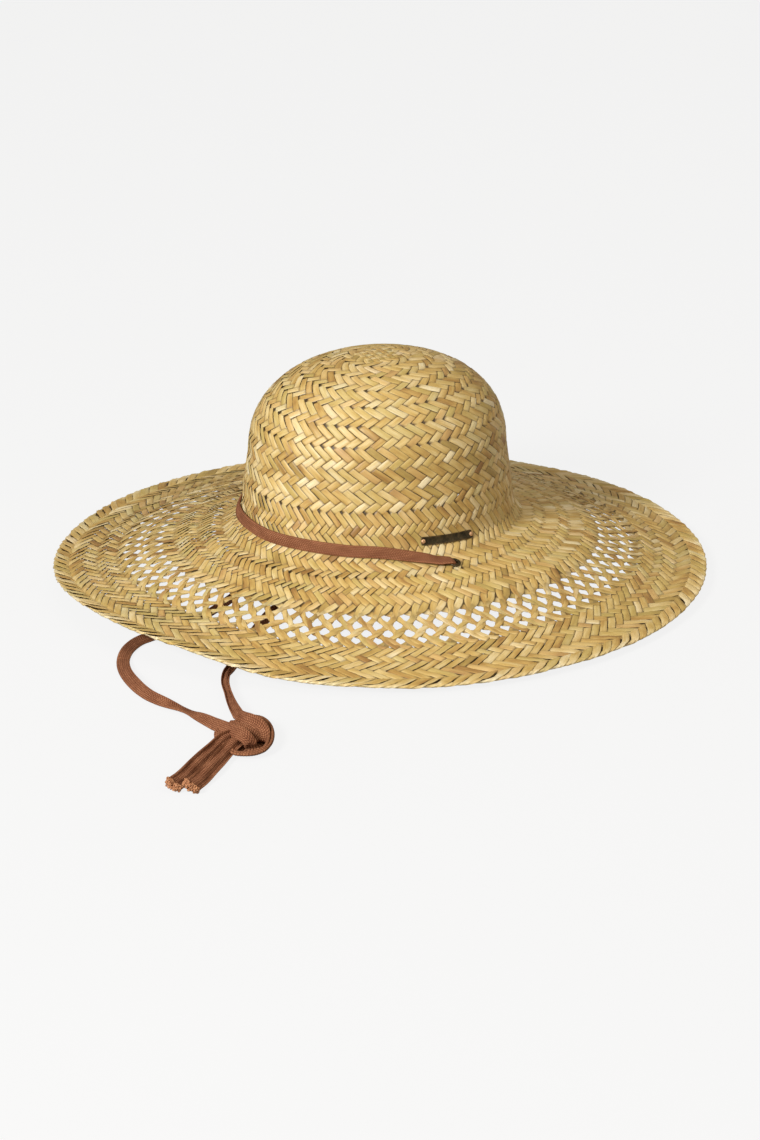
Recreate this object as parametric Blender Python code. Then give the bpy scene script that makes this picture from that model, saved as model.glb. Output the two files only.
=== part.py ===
"""Wide-brimmed woven straw sun hat with a chin cord.

Metres, +Z up. The origin is the middle of the small flat inside the top of the crown, where a hat
stand bears. The front of the hat faces -Y and the nameplate is on +X, the wearer's left. The straw
is drawn round first, as a turned profile, and then warped to the oval of a head. Every piece is
drawn with the brim resting on z = 0, and hangs from an empty that takes that plane down to its
place under the origin.
"""

import math

import bmesh
import bpy
from mathutils import Matrix, Vector

# Straw body
SHELL = 0.0024  # thickness of the woven straw
GAP = 0.0003  # clearance between neighbouring solids
BREAK_R = 0.0964  # mean outer radius of the corner between crown and brim
BREAK_OVAL = 0.0061  # half the difference between the oval's long and short semi-axes there
BREAK_Z = 0.0432
EDGE_R = 0.2371  # mean radius of the brim's edge
EDGE_OVAL = 0.0019
EDGE_Z = 0.0034  # top of the brim at its edge
BRIM_SHIFT = 0.0035  # the brim sits this far behind the crown
BRIM_SLOPES = (10.0, 18.0, 22.5, 15.0, 3.0)  # degrees, at even steps from the break to the edge
WALL_HEIGHT = 0.0536
WALL_TAPER = 0.055  # share of its radius that the wall loses on the way up
DOME_HEIGHT = 0.0689
DOME_POWER = 2.29  # superellipse exponent of the dome
FILLET = 0.0135  # how far the soft corner between crown and brim reaches each way
LIFT_HEIGHT = 0.0135  # the brim's edge is raised where the chin cord comes out under it
LIFT_ANGLE = math.radians(-74)
LIFT_HALF_WIDTH = math.radians(56)

# Where one kind of weave ends and the next begins
TIP_Z = 0.1370
SIDE_Z = 0.0505
OPENWORK_START = 0.0575  # outward from the break
OPENWORK_END = 0.0890
EDGE_RING_START = 0.1245
EDGE_ROLL = 0.0010  # how far the rolled edge is rounded off
EDGE_REST = 0.0095  # the edge is flat underneath from here outward
HOLE_ROWS = 3
HOLES_PER_ROW = 72
HOLE_HALF_TURN = 0.235  # half width of a hole, as a share of the spacing
HOLE_HALF_LENGTH = 0.0046

# Cord, a flat woven tube
CORD_WIDTH = 0.0080
CORD_THICK = 0.0020
CORD_ROUND = 0.0017  # radius where the cord is bunched up to pass through an eyelet
BAND_Z = 0.0505
BAND_CLEAR = 0.0014  # the flat cord bridges the hollow corner by this much
BAND_RISE = 0.0015  # how far the cord lies above its mean line at the hat's front

# Eyelets
EYELET_OUT = 0.0151  # outward from the break
FLANGE_R = 0.0046
FLANGE_THICK = 0.0011
FLANGE_ROUND = 0.0006
BARREL_R = 0.0030
HOLE_R = 0.0023
SEAT = 0.0009  # how far the flat flange stands off the hollow straw surface
LIP_DEPTH = 0.0041
LIP_REACH = 0.0008  # how far the lip is rolled out over its washer
WASHER_THICK = 0.0005

# Nameplate
PLATE_Z = 0.0525
PLATE_TURN = math.radians(3)  # a little towards the back from the left side
PLATE_LENGTH = 0.0425
PLATE_HEIGHT = 0.0051
PLATE_THICK = 0.0008
RIVET_HALF_TURN = math.radians(11.2)
RIVET_R = 0.0008
RIVET_HEAD_R = 0.0016
RIVET_HEAD_THICK = 0.0005
RIVET_CLEAR = 0.0004  # the curved plate stays this far under the flat rivet heads
RIVET_WASHER_R = 0.0022
RIVET_WASHER_THICK = 0.0004

# Sweatband
LINING_FOOT_Z = 0.0580  # the straw wall is straight from here up
BAND_GAP = 0.0020
BAND_THICK = 0.0012
BAND_LOW, BAND_HIGH = 0.0450, 0.0760
STITCH_Z = 0.0485
STITCH_R = 0.0004

# Chin cord on the ground
FLOOR = CORD_THICK / 2 + 0.0001  # height of the flat cord's middle when it lies on the ground
KNOT = Vector((0.2160, -0.2275, 0.0057))
KNOT_HALF = (0.0175, 0.0160, 0.0055)
KNOT_TURN = math.radians(-53)
TAIL_A = Vector((0.2227, -0.2456, FLOOR)), Vector((0.2615, -0.3025, FLOOR))
TAIL_B = Vector((0.2315, -0.2390, FLOOR)), Vector((0.2710, -0.2935, FLOOR))
TAIL_ROOT = ((-0.0035, 0.0016), (-0.0022, 0.0032))  # (along, half width) before a tail's pivot

CROWN_TIP_STEPS = 5
ROUND_STEPS = 48
BRIM_STEPS = HOLES_PER_ROW


# --- helpers ---------------------------------------------------------------------------------


def clear_scene():
    for obj in list(bpy.data.objects):
        bpy.data.objects.remove(obj, do_unlink=True)


def material(name, color, roughness, metallic=0.0):
    mat = bpy.data.materials.new(name)
    mat.use_nodes = True
    shader = mat.node_tree.nodes["Principled BSDF"]
    shader.inputs["Base Color"].default_value = (*color, 1.0)
    shader.inputs["Roughness"].default_value = roughness
    shader.inputs["Metallic"].default_value = metallic
    return mat


def add_object(name, bm, mat, location=(0, 0, 0), parent=None, sharp=40):
    """One object from a bmesh whose coordinates are relative to location."""
    bmesh.ops.recalc_face_normals(bm, faces=bm.faces)
    mesh = bpy.data.meshes.new(name)
    bm.to_mesh(mesh)
    bm.free()
    mesh.materials.append(mat)
    mesh.shade_smooth()
    mesh.set_sharp_from_angle(angle=math.radians(sharp))
    obj = bpy.data.objects.new(name, mesh)
    bpy.context.scene.collection.objects.link(obj)
    obj.location = location
    obj.parent = parent
    return obj


def joint_empty(name, location):
    empty = bpy.data.objects.new(name, None)
    empty.location = location
    bpy.context.scene.collection.objects.link(empty)
    return empty


def cut(obj, cutter):
    """Boolean difference. The cutter stays as a hidden guide."""
    cutter.hide_render = True
    cutter.display_type = "WIRE"
    modifier = obj.modifiers.new("cut", "BOOLEAN")
    modifier.operation = "DIFFERENCE"
    modifier.solver = "EXACT"
    modifier.object = cutter


def smooth_path(points, per_span):
    """Catmull-Rom curve through the points."""
    ends = [points[0] * 2 - points[1]] + list(points) + [points[-1] * 2 - points[-2]]
    path = []
    for a, b, c, d in zip(ends, ends[1:], ends[2:], ends[3:]):
        for step in range(per_span):
            t = step / per_span
            curve = b * 2 + (c - a) * t + (a * 2 - b * 5 + c * 4 - d) * t**2
            path.append((curve + (b * 3 - a - c * 3 + d) * t**3) / 2)
    return path + [points[-1]]


# --- the straw surface -----------------------------------------------------------------------


def oval(radius):
    """How far the plan departs from a circle at this mean radius."""
    if radius < BREAK_R:
        return BREAK_OVAL * radius / BREAK_R
    share = (radius - BREAK_R) / (EDGE_R - BREAK_R)
    return BREAK_OVAL + (EDGE_OVAL - BREAK_OVAL) * share


def lift(turn, radius):
    share = max(0.0, (radius - BREAK_R) / (EDGE_R - BREAK_R))
    away = (turn - LIFT_ANGLE + math.pi) % (2 * math.pi) - math.pi
    if abs(away) >= LIFT_HALF_WIDTH:
        return 0.0
    return LIFT_HEIGHT * math.cos(math.pi / 2 * away / LIFT_HALF_WIDTH) ** 2 * share**2


def warp(point):
    """Takes a point of the round hat to the oval one, with its brim shifted back and lifted."""
    radius = math.hypot(point.x, point.y)
    turn = math.atan2(point.y, point.x)
    share = min(1.0, max(0.0, 2 * (radius - BREAK_R) / (EDGE_R - BREAK_R)))
    x = (radius - oval(radius)) * math.cos(turn)
    y = (radius + oval(radius)) * math.sin(turn) + BRIM_SHIFT * share
    return Vector((x, y, point.z + lift(turn, radius)))


def brim_line(steps=56):
    """(radius, height) down the top of the brim, from the break to the edge."""
    width = EDGE_R - BREAK_R
    drops = [0.0]
    for i in range(steps):
        place = (i + 0.5) / steps * (len(BRIM_SLOPES) - 1)
        low = int(place)
        slope = BRIM_SLOPES[low] + (BRIM_SLOPES[low + 1] - BRIM_SLOPES[low]) * (place - low)
        drops.append(drops[-1] + math.tan(math.radians(slope)) * width / steps)
    return [
        Vector((BREAK_R + width * i / steps, EDGE_Z + drops[-1] - drop))
        for i, drop in enumerate(drops)
    ]


def outline():
    """(radius, height) along the outside of the straw, from the top of the crown to the edge."""
    top_r = BREAK_R * (1 - WALL_TAPER)
    brim = brim_line()
    corner = brim[0]
    wall_top = Vector((top_r, corner.y + WALL_HEIGHT))
    power = 2 / DOME_POWER
    points = []
    for i in range(24):
        turn = math.pi / 2 * (1 - i / 24)
        rise = DOME_HEIGHT * math.sin(turn) ** power
        points.append(Vector((top_r * math.cos(turn) ** power, wall_top.y + rise)))
    wall_end = corner + (wall_top - corner).normalized() * FILLET
    brim_start = next(p for p in brim if p.x > BREAK_R + FILLET)
    points.append(wall_top)
    for i in range(10):
        t = i / 9
        ends = wall_end * (1 - t) ** 2 + brim_start * t**2
        points.append(ends + corner * (2 * t * (1 - t)))
    return points + [p for p in brim if p.x > brim_start.x + 1e-6]


OUTLINE = outline()


def place(length):
    """(radius, height, outward normal) at this distance along the outline from the top."""
    last = len(OUTLINE) - 2
    for i, (a, b) in enumerate(zip(OUTLINE, OUTLINE[1:])):
        step = (b - a).length
        if length <= step or i == last:
            point = a + (b - a) * (length / step)
            along = (b - a).normalized()
            return point, Vector((-along.y, along.x))
        length -= step
    return OUTLINE[-1], Vector((0, 1))


def length_where(reached):
    """Distance along the outline to the first point for which reached(radius, height) is true."""
    total = 0.0
    step = 0.0001
    while not reached(*place(total)[0]):
        total += step
    return total


L_TIP = length_where(lambda r, z: z <= TIP_Z)
L_BEND = length_where(lambda r, z: z <= BREAK_Z + FILLET)
L_SIDE = length_where(lambda r, z: z <= SIDE_Z)
L_BAND = length_where(lambda r, z: z <= BAND_Z)
L_PLATE = length_where(lambda r, z: z <= PLATE_Z)
L_EYELET = length_where(lambda r, z: r >= BREAK_R + EYELET_OUT)
L_FLAT = length_where(lambda r, z: r >= BREAK_R + FILLET)
L_OPEN = length_where(lambda r, z: r >= BREAK_R + OPENWORK_START)
L_OUTER = length_where(lambda r, z: r >= BREAK_R + OPENWORK_END)
L_EDGE = length_where(lambda r, z: r >= BREAK_R + EDGE_RING_START)


def section_point(length, height):
    """A point of the round hat's XZ section, at this height above the straw's outer face."""
    point, normal = place(length)
    raised = point + normal * height
    return Vector((raised.x, 0.0, raised.y))


def surface(turn, length, height=0.0):
    point = section_point(length, height)
    return warp(Matrix.Rotation(turn, 3, "Z") @ point)


def outward(turn, length):
    return (surface(turn, length, 0.001) - surface(turn, length)).normalized()


def turned(section, steps, closed=True):
    """Spins a section about Z and warps it to the oval. An open section has its ends on Z."""
    bm = bmesh.new()
    verts = [bm.verts.new(p) for p in section]
    pairs = list(zip(verts, verts[1:]))
    if closed:
        pairs.append((verts[-1], verts[0]))
    edges = [bm.edges.new(pair) for pair in pairs]
    bmesh.ops.spin(
        bm,
        geom=verts + edges,
        cent=(0, 0, 0),
        axis=(0, 0, 1),
        angle=2 * math.pi,
        steps=steps,
        use_merge=True,
    )
    bmesh.ops.remove_doubles(bm, verts=bm.verts, dist=1e-6)
    for vert in bm.verts:
        if math.hypot(vert.co.x, vert.co.y) > 1e-6:
            vert.co = warp(vert.co)
    return bm


def shell_section(*stops):
    """Closed section of the straw through these lengths, trimmed by half a gap at each end."""
    lengths = [stops[0] + GAP / 2, *stops[1:-1], stops[-1] - GAP / 2]
    outer = [section_point(length, 0) for length in lengths]
    inner = [section_point(length, -SHELL) for length in reversed(lengths)]
    return outer + inner


# --- straw pieces ----------------------------------------------------------------------------


def crown_tip(mat):
    """The top of the dome, flat inside in the middle where a stand would hold it."""
    lengths = [L_TIP * i / CROWN_TIP_STEPS for i in range(CROWN_TIP_STEPS)] + [L_TIP - GAP / 2]
    outer = [section_point(length, 0) for length in lengths]
    inner = [section_point(length, -SHELL) for length in reversed(lengths[1:])]
    outer[0] = Vector((0, 0, outer[0].z))
    inner.append(Vector((0, 0, inner[-1].z)))
    return add_object("crown_tip", turned(outer + inner, ROUND_STEPS, closed=False), mat)


def crown_side(mat):
    dome = [L_TIP + (L_BEND - L_TIP) * i / 4 for i in range(5)]
    bm = turned(shell_section(*dome, L_SIDE), ROUND_STEPS)
    return add_object("crown_side", bm, mat)


def brim_inner(mat):
    bend = [L_SIDE + (L_FLAT - L_SIDE) * i / 3 for i in range(4)]
    section = shell_section(*bend, (L_FLAT + L_OPEN) / 2, L_OPEN)
    return add_object("brim_inner", turned(section, BRIM_STEPS), mat)


def brim_openwork(mat):
    """The lattice between crossing bundles of straw: staggered rows of diamond holes."""
    first, last = L_OPEN + GAP / 2, L_OUTER - GAP / 2
    row_gap = (last - first) / (HOLE_ROWS + 0.35)
    pitch = 2 * math.pi / HOLES_PER_ROW
    half = HOLE_HALF_TURN * pitch
    bm = bmesh.new()
    made = {}

    def vert(turn, length, side):
        key = (round(turn / pitch * 1000) % (HOLES_PER_ROW * 1000), round(length * 1e6), side)
        if key not in made:
            point = section_point(length, -SHELL * side)
            made[key] = bm.verts.new(warp(Matrix.Rotation(turn, 3, "Z") @ point))
        return made[key]

    def both_sides(*corners):
        bm.faces.new([vert(turn, length, 0) for turn, length in corners])
        bm.faces.new([vert(turn, length, 1) for turn, length in reversed(corners)])

    def wall(a, b):
        bm.faces.new([vert(*a, 0), vert(*b, 0), vert(*b, 1), vert(*a, 1)])

    def row_length(row):
        return first + row_gap * (row + 0.675)

    for i in range(HOLES_PER_ROW):
        for row in range(HOLE_ROWS):
            turn = (i + 0.5 * (row % 2)) * pitch
            length = row_length(row)
            left, right = (turn - half, length), (turn + half, length)
            top = (turn, length - HOLE_HALF_LENGTH)
            bottom = (turn, length + HOLE_HALF_LENGTH)
            next_left = (left[0] + pitch, length)
            for a, b in ((left, top), (top, right), (right, bottom), (bottom, left)):
                wall(a, b)
            above = (turn + pitch / 2, row_length(row - 1) + HOLE_HALF_LENGTH)
            below = (turn + pitch / 2, row_length(row + 1) - HOLE_HALF_LENGTH)
            if row == 0:
                start, following = (turn, first), (turn + pitch, first)
                both_sides(start, top, right)
                both_sides(start, right, next_left, following)
                both_sides(following, next_left, (top[0] + pitch, top[1]))
                wall(start, following)
                both_sides(right, below, next_left)
            elif row == HOLE_ROWS - 1:
                start, following = (turn, last), (turn + pitch, last)
                both_sides(right, bottom, start)
                both_sides(next_left, right, start, following)
                both_sides((bottom[0] + pitch, bottom[1]), next_left, following)
                wall(following, start)
                both_sides(next_left, above, right)
            else:
                both_sides(right, below, next_left, above)
            if row < HOLE_ROWS - 1:
                lower = length + row_gap
                tip = (turn + pitch / 2, lower - HOLE_HALF_LENGTH)
                both_sides(right, bottom, (turn + pitch / 2 - half, lower), tip)
                lower_right = (turn + pitch / 2 + half, lower)
                both_sides(next_left, tip, lower_right, (bottom[0] + pitch, bottom[1]))
    return add_object("brim_openwork", bm, mat, sharp=30)


def brim_outer(mat):
    section = shell_section(L_OUTER, (L_OUTER + L_EDGE) / 2, L_EDGE)
    return add_object("brim_outer", turned(section, BRIM_STEPS), mat)


def brim_edge(mat):
    """Straws rolled and twisted into a thicker edge, flat underneath where it rests."""
    start = L_EDGE + GAP / 2
    under = section_point(start, -SHELL)
    section = [
        section_point(start, 0),
        Vector((EDGE_R - 5 * EDGE_ROLL, 0, EDGE_Z + EDGE_ROLL)),
        Vector((EDGE_R - EDGE_ROLL, 0, EDGE_Z)),
        Vector((EDGE_R, 0, EDGE_Z / 2)),
        Vector((EDGE_R - EDGE_ROLL, 0, 0)),
        Vector((EDGE_R - EDGE_REST, 0, 0)),
        under,
    ]
    return add_object("brim_edge", turned(section, BRIM_STEPS), mat)


# --- lining ----------------------------------------------------------------------------------


def wall_place(z):
    """Length along the outline where the wall is at this height."""
    return length_where(lambda r, height: height <= z)


def lining_radius(z):
    """Inner face of the straw wall at this height, taken straight down past the soft corner."""
    high = place(wall_place(BREAK_Z + WALL_HEIGHT))[0]
    low = place(wall_place(LINING_FOOT_Z))[0]
    share = (z - low.y) / (high.y - low.y)
    return low.x + (high.x - low.x) * share - SHELL


def sweatband(mat):
    outer = [(lining_radius(z) - BAND_GAP, z) for z in (BAND_LOW, BAND_HIGH)]
    inner = [(r - BAND_THICK, z) for r, z in reversed(outer)]
    section = [Vector((r, 0, z)) for r, z in outer + inner]
    return add_object("sweatband", turned(section, ROUND_STEPS), mat)


def sweatband_stitching(mat):
    """The run of thread that shows on the inner face of the sweatband."""
    centre = lining_radius(STITCH_Z) - BAND_GAP - BAND_THICK - GAP - STITCH_R
    section = [
        Vector((centre + STITCH_R * math.cos(a), 0, STITCH_Z + STITCH_R * math.sin(a)))
        for a in (0, math.pi / 2, math.pi, math.pi * 1.5)
    ]
    return add_object("sweatband_stitching", turned(section, ROUND_STEPS), mat)


# --- metal parts -----------------------------------------------------------------------------


def round_part(name, profile, mat, centre, axis, steps=20):
    """A part turned about its own axis from a (radius, height) profile with open middle."""
    bm = bmesh.new()
    verts = [bm.verts.new((r, 0, h)) for r, h in profile]
    on_axis = profile[0][0] == 0
    pairs = list(zip(verts, verts[1:]))
    if not on_axis:
        pairs.append((verts[-1], verts[0]))
    edges = [bm.edges.new(pair) for pair in pairs]
    bmesh.ops.spin(
        bm,
        geom=verts + edges,
        cent=(0, 0, 0),
        axis=(0, 0, 1),
        angle=2 * math.pi,
        steps=steps,
        use_merge=True,
    )
    bmesh.ops.remove_doubles(bm, verts=bm.verts, dist=1e-6)
    turn = Vector((0, 0, 1)).rotation_difference(axis).to_matrix()
    bmesh.ops.transform(bm, matrix=turn.to_4x4(), verts=bm.verts)
    return add_object(name, bm, mat, location=centre)


def eyelet(side, turn, mat, washer_mat, straw):
    """A flanged tube whose end is rolled over a washer on the underside of the straw."""
    centre, axis = surface(turn, L_EYELET), outward(turn, L_EYELET)
    hole = [(0, 0.02), (BARREL_R + GAP, 0.02), (BARREL_R + GAP, -0.02), (0, -0.02)]
    cut(straw, round_part("eyelet_hole_" + side, hole, mat, centre, axis))
    washer_top = -SHELL - GAP
    washer_low = washer_top - WASHER_THICK
    lip_top = washer_low - GAP
    flange_top = SEAT + FLANGE_THICK
    profile = [
        (HOLE_R, SEAT + FLANGE_ROUND),
        (HOLE_R + FLANGE_ROUND, flange_top),
        (FLANGE_R - FLANGE_ROUND, flange_top - GAP / 2),
        (FLANGE_R, SEAT),
        (BARREL_R, SEAT),
        (BARREL_R, lip_top),
        (BARREL_R + LIP_REACH, lip_top),
        (BARREL_R + LIP_REACH * 0.75, -LIP_DEPTH),
        (HOLE_R, -LIP_DEPTH),
    ]
    round_part("eyelet_" + side, profile, mat, centre, axis)
    washer = [
        (BARREL_R + GAP, washer_top),
        (FLANGE_R, washer_top),
        (FLANGE_R, washer_low),
        (BARREL_R + GAP, washer_low),
    ]
    round_part("eyelet_washer_" + side, washer, washer_mat, centre, axis)


def nameplate(mat, rivet_mat, straw):
    """A slim curved plate with a rivet and a back washer near each end."""
    half_turn = PLATE_LENGTH / 2 / (place(L_PLATE)[0].x + BREAK_OVAL)
    low, high = GAP, GAP + PLATE_THICK
    steps = 12
    bm = bmesh.new()
    rings = []
    for i in range(steps + 1):
        turn = PLATE_TURN + half_turn * (2 * i / steps - 1)
        corners = [
            (L_PLATE - PLATE_HEIGHT / 2, high),
            (L_PLATE - PLATE_HEIGHT / 2, low),
            (L_PLATE + PLATE_HEIGHT / 2, low),
            (L_PLATE + PLATE_HEIGHT / 2, high),
        ]
        rings.append([bm.verts.new(surface(turn, *corner)) for corner in corners])
    for a, b in zip(rings, rings[1:]):
        for k in range(4):
            bm.faces.new((a[k], a[(k + 1) % 4], b[(k + 1) % 4], b[k]))
    bm.faces.new(rings[0])
    bm.faces.new(reversed(rings[-1]))
    plate = add_object("nameplate", bm, mat)
    for name, side in (("front", -RIVET_HALF_TURN), ("rear", RIVET_HALF_TURN)):
        turn = PLATE_TURN + side
        centre, axis = surface(turn, L_PLATE), outward(turn, L_PLATE)
        clear = RIVET_R + GAP
        hole = [(0, 0.01), (clear, 0.01), (clear, -0.01), (0, -0.01)]
        cutter = round_part("rivet_hole_" + name, hole, mat, centre, axis, steps=12)
        cut(plate, cutter)
        cut(straw, cutter)
        head = high + RIVET_CLEAR
        washer_top = -SHELL - GAP
        washer_low = washer_top - RIVET_WASHER_THICK
        tip = washer_low - RIVET_HEAD_THICK
        rivet = [
            (0, head + RIVET_HEAD_THICK),
            (RIVET_HEAD_R * 0.6, head + RIVET_HEAD_THICK * 0.8),
            (RIVET_HEAD_R, head),
            (RIVET_R, head),
            (RIVET_R, tip),
            (0, tip),
        ]
        round_part("nameplate_rivet_" + name, rivet, rivet_mat, centre, axis, steps=12)
        washer = [
            (clear, washer_top),
            (RIVET_WASHER_R, washer_top),
            (RIVET_WASHER_R, washer_low),
            (clear, washer_low),
        ]
        round_part("rivet_washer_" + name, washer, rivet_mat, centre, axis, steps=12)


# --- cord ------------------------------------------------------------------------------------


def ribbon(name, path, sides, halves, mat, parent=None):
    """Sweeps an eight-sided flat section along path. Each place has a side direction and half sizes."""
    origin = parent.location if parent else Vector()
    bm = bmesh.new()
    rings = []
    for i, centre in enumerate(path):
        along = (path[min(i + 1, len(path) - 1)] - path[max(i - 1, 0)]).normalized()
        up = along.cross(sides[i]).normalized()
        side = up.cross(along)
        width, thick = halves[i]
        soft = min(width, thick) * 0.6
        corners = [
            (width, thick - soft),
            (width - soft, thick),
            (soft - width, thick),
            (-width, thick - soft),
            (-width, soft - thick),
            (soft - width, -thick),
            (width - soft, -thick),
            (width, soft - thick),
        ]
        rings.append([bm.verts.new(centre + side * w + up * h - origin) for w, h in corners])
    for a, b in zip(rings, rings[1:]):
        for k in range(8):
            bm.faces.new((a[k], a[(k + 1) % 8], b[(k + 1) % 8], b[k]))
    bm.faces.new(rings[0])
    bm.faces.new(reversed(rings[-1]))
    return add_object(name, bm, mat, location=(0, 0, 0), parent=parent)


FLAT = (CORD_WIDTH / 2, CORD_THICK / 2)
BUNCHED = (CORD_ROUND, CORD_ROUND)


def between(a, b, share):
    return tuple(x + (y - x) * share for x, y in zip(a, b))


def cord_band(mat):
    """The cord outside the crown, from the left eyelet round the front to the right one."""
    rise = SEAT + 0.0030
    flat_rise = CORD_THICK / 2 + BAND_CLEAR
    # angle from the eyelet in degrees, length along the outline, height above the straw, flatness
    stops = [
        (0.0, L_EYELET, -LIP_DEPTH + 0.0004, 0.0),
        (0.0, L_EYELET, SEAT + 0.0022, 0.0),
        (1.6, L_EYELET - 0.0006, rise + 0.0012, 0.1),
        (4.5, L_EYELET - 0.0030, rise, 0.55),
        (8.0, L_EYELET - 0.0070, flat_rise + 0.0010, 1.0),
        (12.0, L_EYELET - 0.0105, flat_rise + 0.0006, 1.0),
        (18.0, L_BAND + 0.0060, flat_rise + 0.0003, 1.0),
        (25.0, L_BAND + 0.0030, flat_rise, 1.0),
    ]
    stops += [(a, L_BAND + BAND_RISE * (45 - a) / 14, flat_rise, 1.0) for a in (31, 38)]
    stops += [(a, L_BAND - BAND_RISE * (a - 45) / 45, flat_rise, 1.0) for a in range(45, 90, 6)]
    stops += [(180 - a, length, height, flat) for a, length, height, flat in reversed(stops)]
    path = [surface(math.radians(-a), length, height) for a, length, height, _ in stops]
    sides = []
    for angle, length, height, _ in stops:
        turn = math.radians(-angle)
        down = surface(turn, length + 0.001, height) - surface(turn, length - 0.001, height)
        sides.append(down.normalized())
    halves = [between(BUNCHED, FLAT, flat) for *_, flat in stops]
    return ribbon("cord_band", path, sides, halves, mat)


def strand(name, points, mat, parent):
    """One side of the chin cord, bunched at its eyelet and flat on the ground after that."""
    path = smooth_path([Vector(p) for p in points], 3)
    for point in path:
        point.z = max(point.z, FLOOR)
    up = Vector((0, 0, 1))
    sides = []
    for i in range(len(path)):
        along = path[min(i + 1, len(path) - 1)] - path[max(i - 1, 0)]
        sides.append(up.cross(along).normalized())
    halves = [between(BUNCHED, FLAT, min(1.0, i / 4)) for i in range(len(path))]
    return ribbon(name, path, sides, halves, mat, parent)


def knot(mat, parent):
    """Overhand knot tied in both strands together, as one rounded lump."""
    bm = bmesh.new()
    bmesh.ops.create_uvsphere(bm, u_segments=18, v_segments=10, radius=1.0)
    turn = Matrix.Rotation(KNOT_TURN, 4, "Z")
    size = Matrix.Diagonal((*KNOT_HALF, 1.0))
    shape = Matrix.Translation(KNOT - parent.location) @ turn @ size
    bmesh.ops.transform(bm, matrix=shape, verts=bm.verts)
    return add_object("chin_knot", bm, mat, parent=parent)


def tail(name, start, end, mat, parent):
    """A free end of the cord. Its first end is rounded about the place it swings from."""
    along = (end - start).normalized()
    side = Vector((0, 0, 1)).cross(along)
    path = [start + along * before for before, _ in TAIL_ROOT]
    path += [start + (end - start) * i / 6 for i in range(7)]
    widths = [width for _, width in TAIL_ROOT] + [CORD_WIDTH / 2] * 7
    halves = [(w, CORD_THICK / 2) for w in widths]
    return ribbon(name, path, [side] * len(path), halves, mat, parent)


def strand_starts():
    """Where the chin cord comes out under each eyelet. The line through both is its hinge."""
    drop = -LIP_DEPTH - CORD_ROUND - GAP
    left = surface(0.0, L_EYELET, drop)
    return left, Vector((-left.x, left.y, left.z))


def cords(mat):
    left, right = strand_starts()
    loop = joint_empty("chin_strap_axis", Vector((0, left.y, left.z)))
    low = FLOOR
    cord_band(mat)
    strand(
        "chin_strand_left",
        [
            left,
            (0.0820, -0.0200, 0.0150),
            (0.0520, -0.0520, 0.0030),
            (0.0300, -0.0790, low),
            (0.0330, -0.1010, low),
            (0.0560, -0.1270, low),
            (0.1120, -0.1780, low),
            (0.1400, -0.1980, low),
            (0.1620, -0.2060, low),
            (0.2022, -0.2220, low),
        ],
        mat,
        loop,
    )
    strand(
        "chin_strand_right",
        [
            right,
            (-0.0780, -0.0260, 0.0180),
            (-0.0480, -0.0600, 0.0040),
            (-0.0120, -0.1030, low),
            (0.0120, -0.1450, low),
            (0.0270, -0.1880, low),
            (0.0420, -0.2260, low),
            (0.0640, -0.2450, low),
            (0.0920, -0.2550, low),
            (0.1280, -0.2570, low),
            (0.1620, -0.2420, low),
            (0.2017, -0.2313, low),
        ],
        mat,
        loop,
    )
    knot(mat, loop)
    tail("cord_tail_a", *TAIL_A, mat, joint_empty("tail_a_axis", TAIL_A[0]))
    tail("cord_tail_b", *TAIL_B, mat, joint_empty("tail_b_axis", TAIL_B[0]))


# --- the hat ---------------------------------------------------------------------------------


def hang_from_origin():
    """Lowers the plane that the brim rests on, so that the seat inside the crown is at the origin."""
    seat = section_point(L_TIP / CROWN_TIP_STEPS, -SHELL)
    rest_plane = joint_empty("rest_plane", Vector((0, 0, -seat.z)))
    for obj in list(bpy.data.objects):
        if obj is not rest_plane and obj.parent is None:
            obj.parent = rest_plane


def build():
    clear_scene()
    straw = material("straw", (0.72, 0.56, 0.30), 0.62)
    cord = material("cord", (0.33, 0.13, 0.07), 0.85)
    bronze = material("aged_bronze", (0.12, 0.09, 0.05), 0.38, 1.0)
    band = material("sweatband_cotton", (0.62, 0.50, 0.34), 0.9)
    thread = material("thread", (0.78, 0.68, 0.48), 0.8)
    crown_tip(straw)
    side = crown_side(straw)
    inner = brim_inner(straw)
    brim_openwork(straw)
    brim_outer(straw)
    brim_edge(straw)
    sweatband(band)
    sweatband_stitching(thread)
    for name, turn in (("left", 0.0), ("right", math.pi)):
        eyelet(name, turn, bronze, bronze, inner)
    nameplate(bronze, bronze, side)
    cords(cord)
    hang_from_origin()
    bpy.context.view_layer.update()


build()
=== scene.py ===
"""Looks of a woven straw sun hat with a flat chin cord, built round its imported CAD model.

Everything is drawn in hat coordinates, as the CAD is: metres, +Z up, the brim resting on z = 0,
the hat's front towards -Y. add_mesh() sets each piece down into the frame, whose origin is higher.
"""

import math

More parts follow.
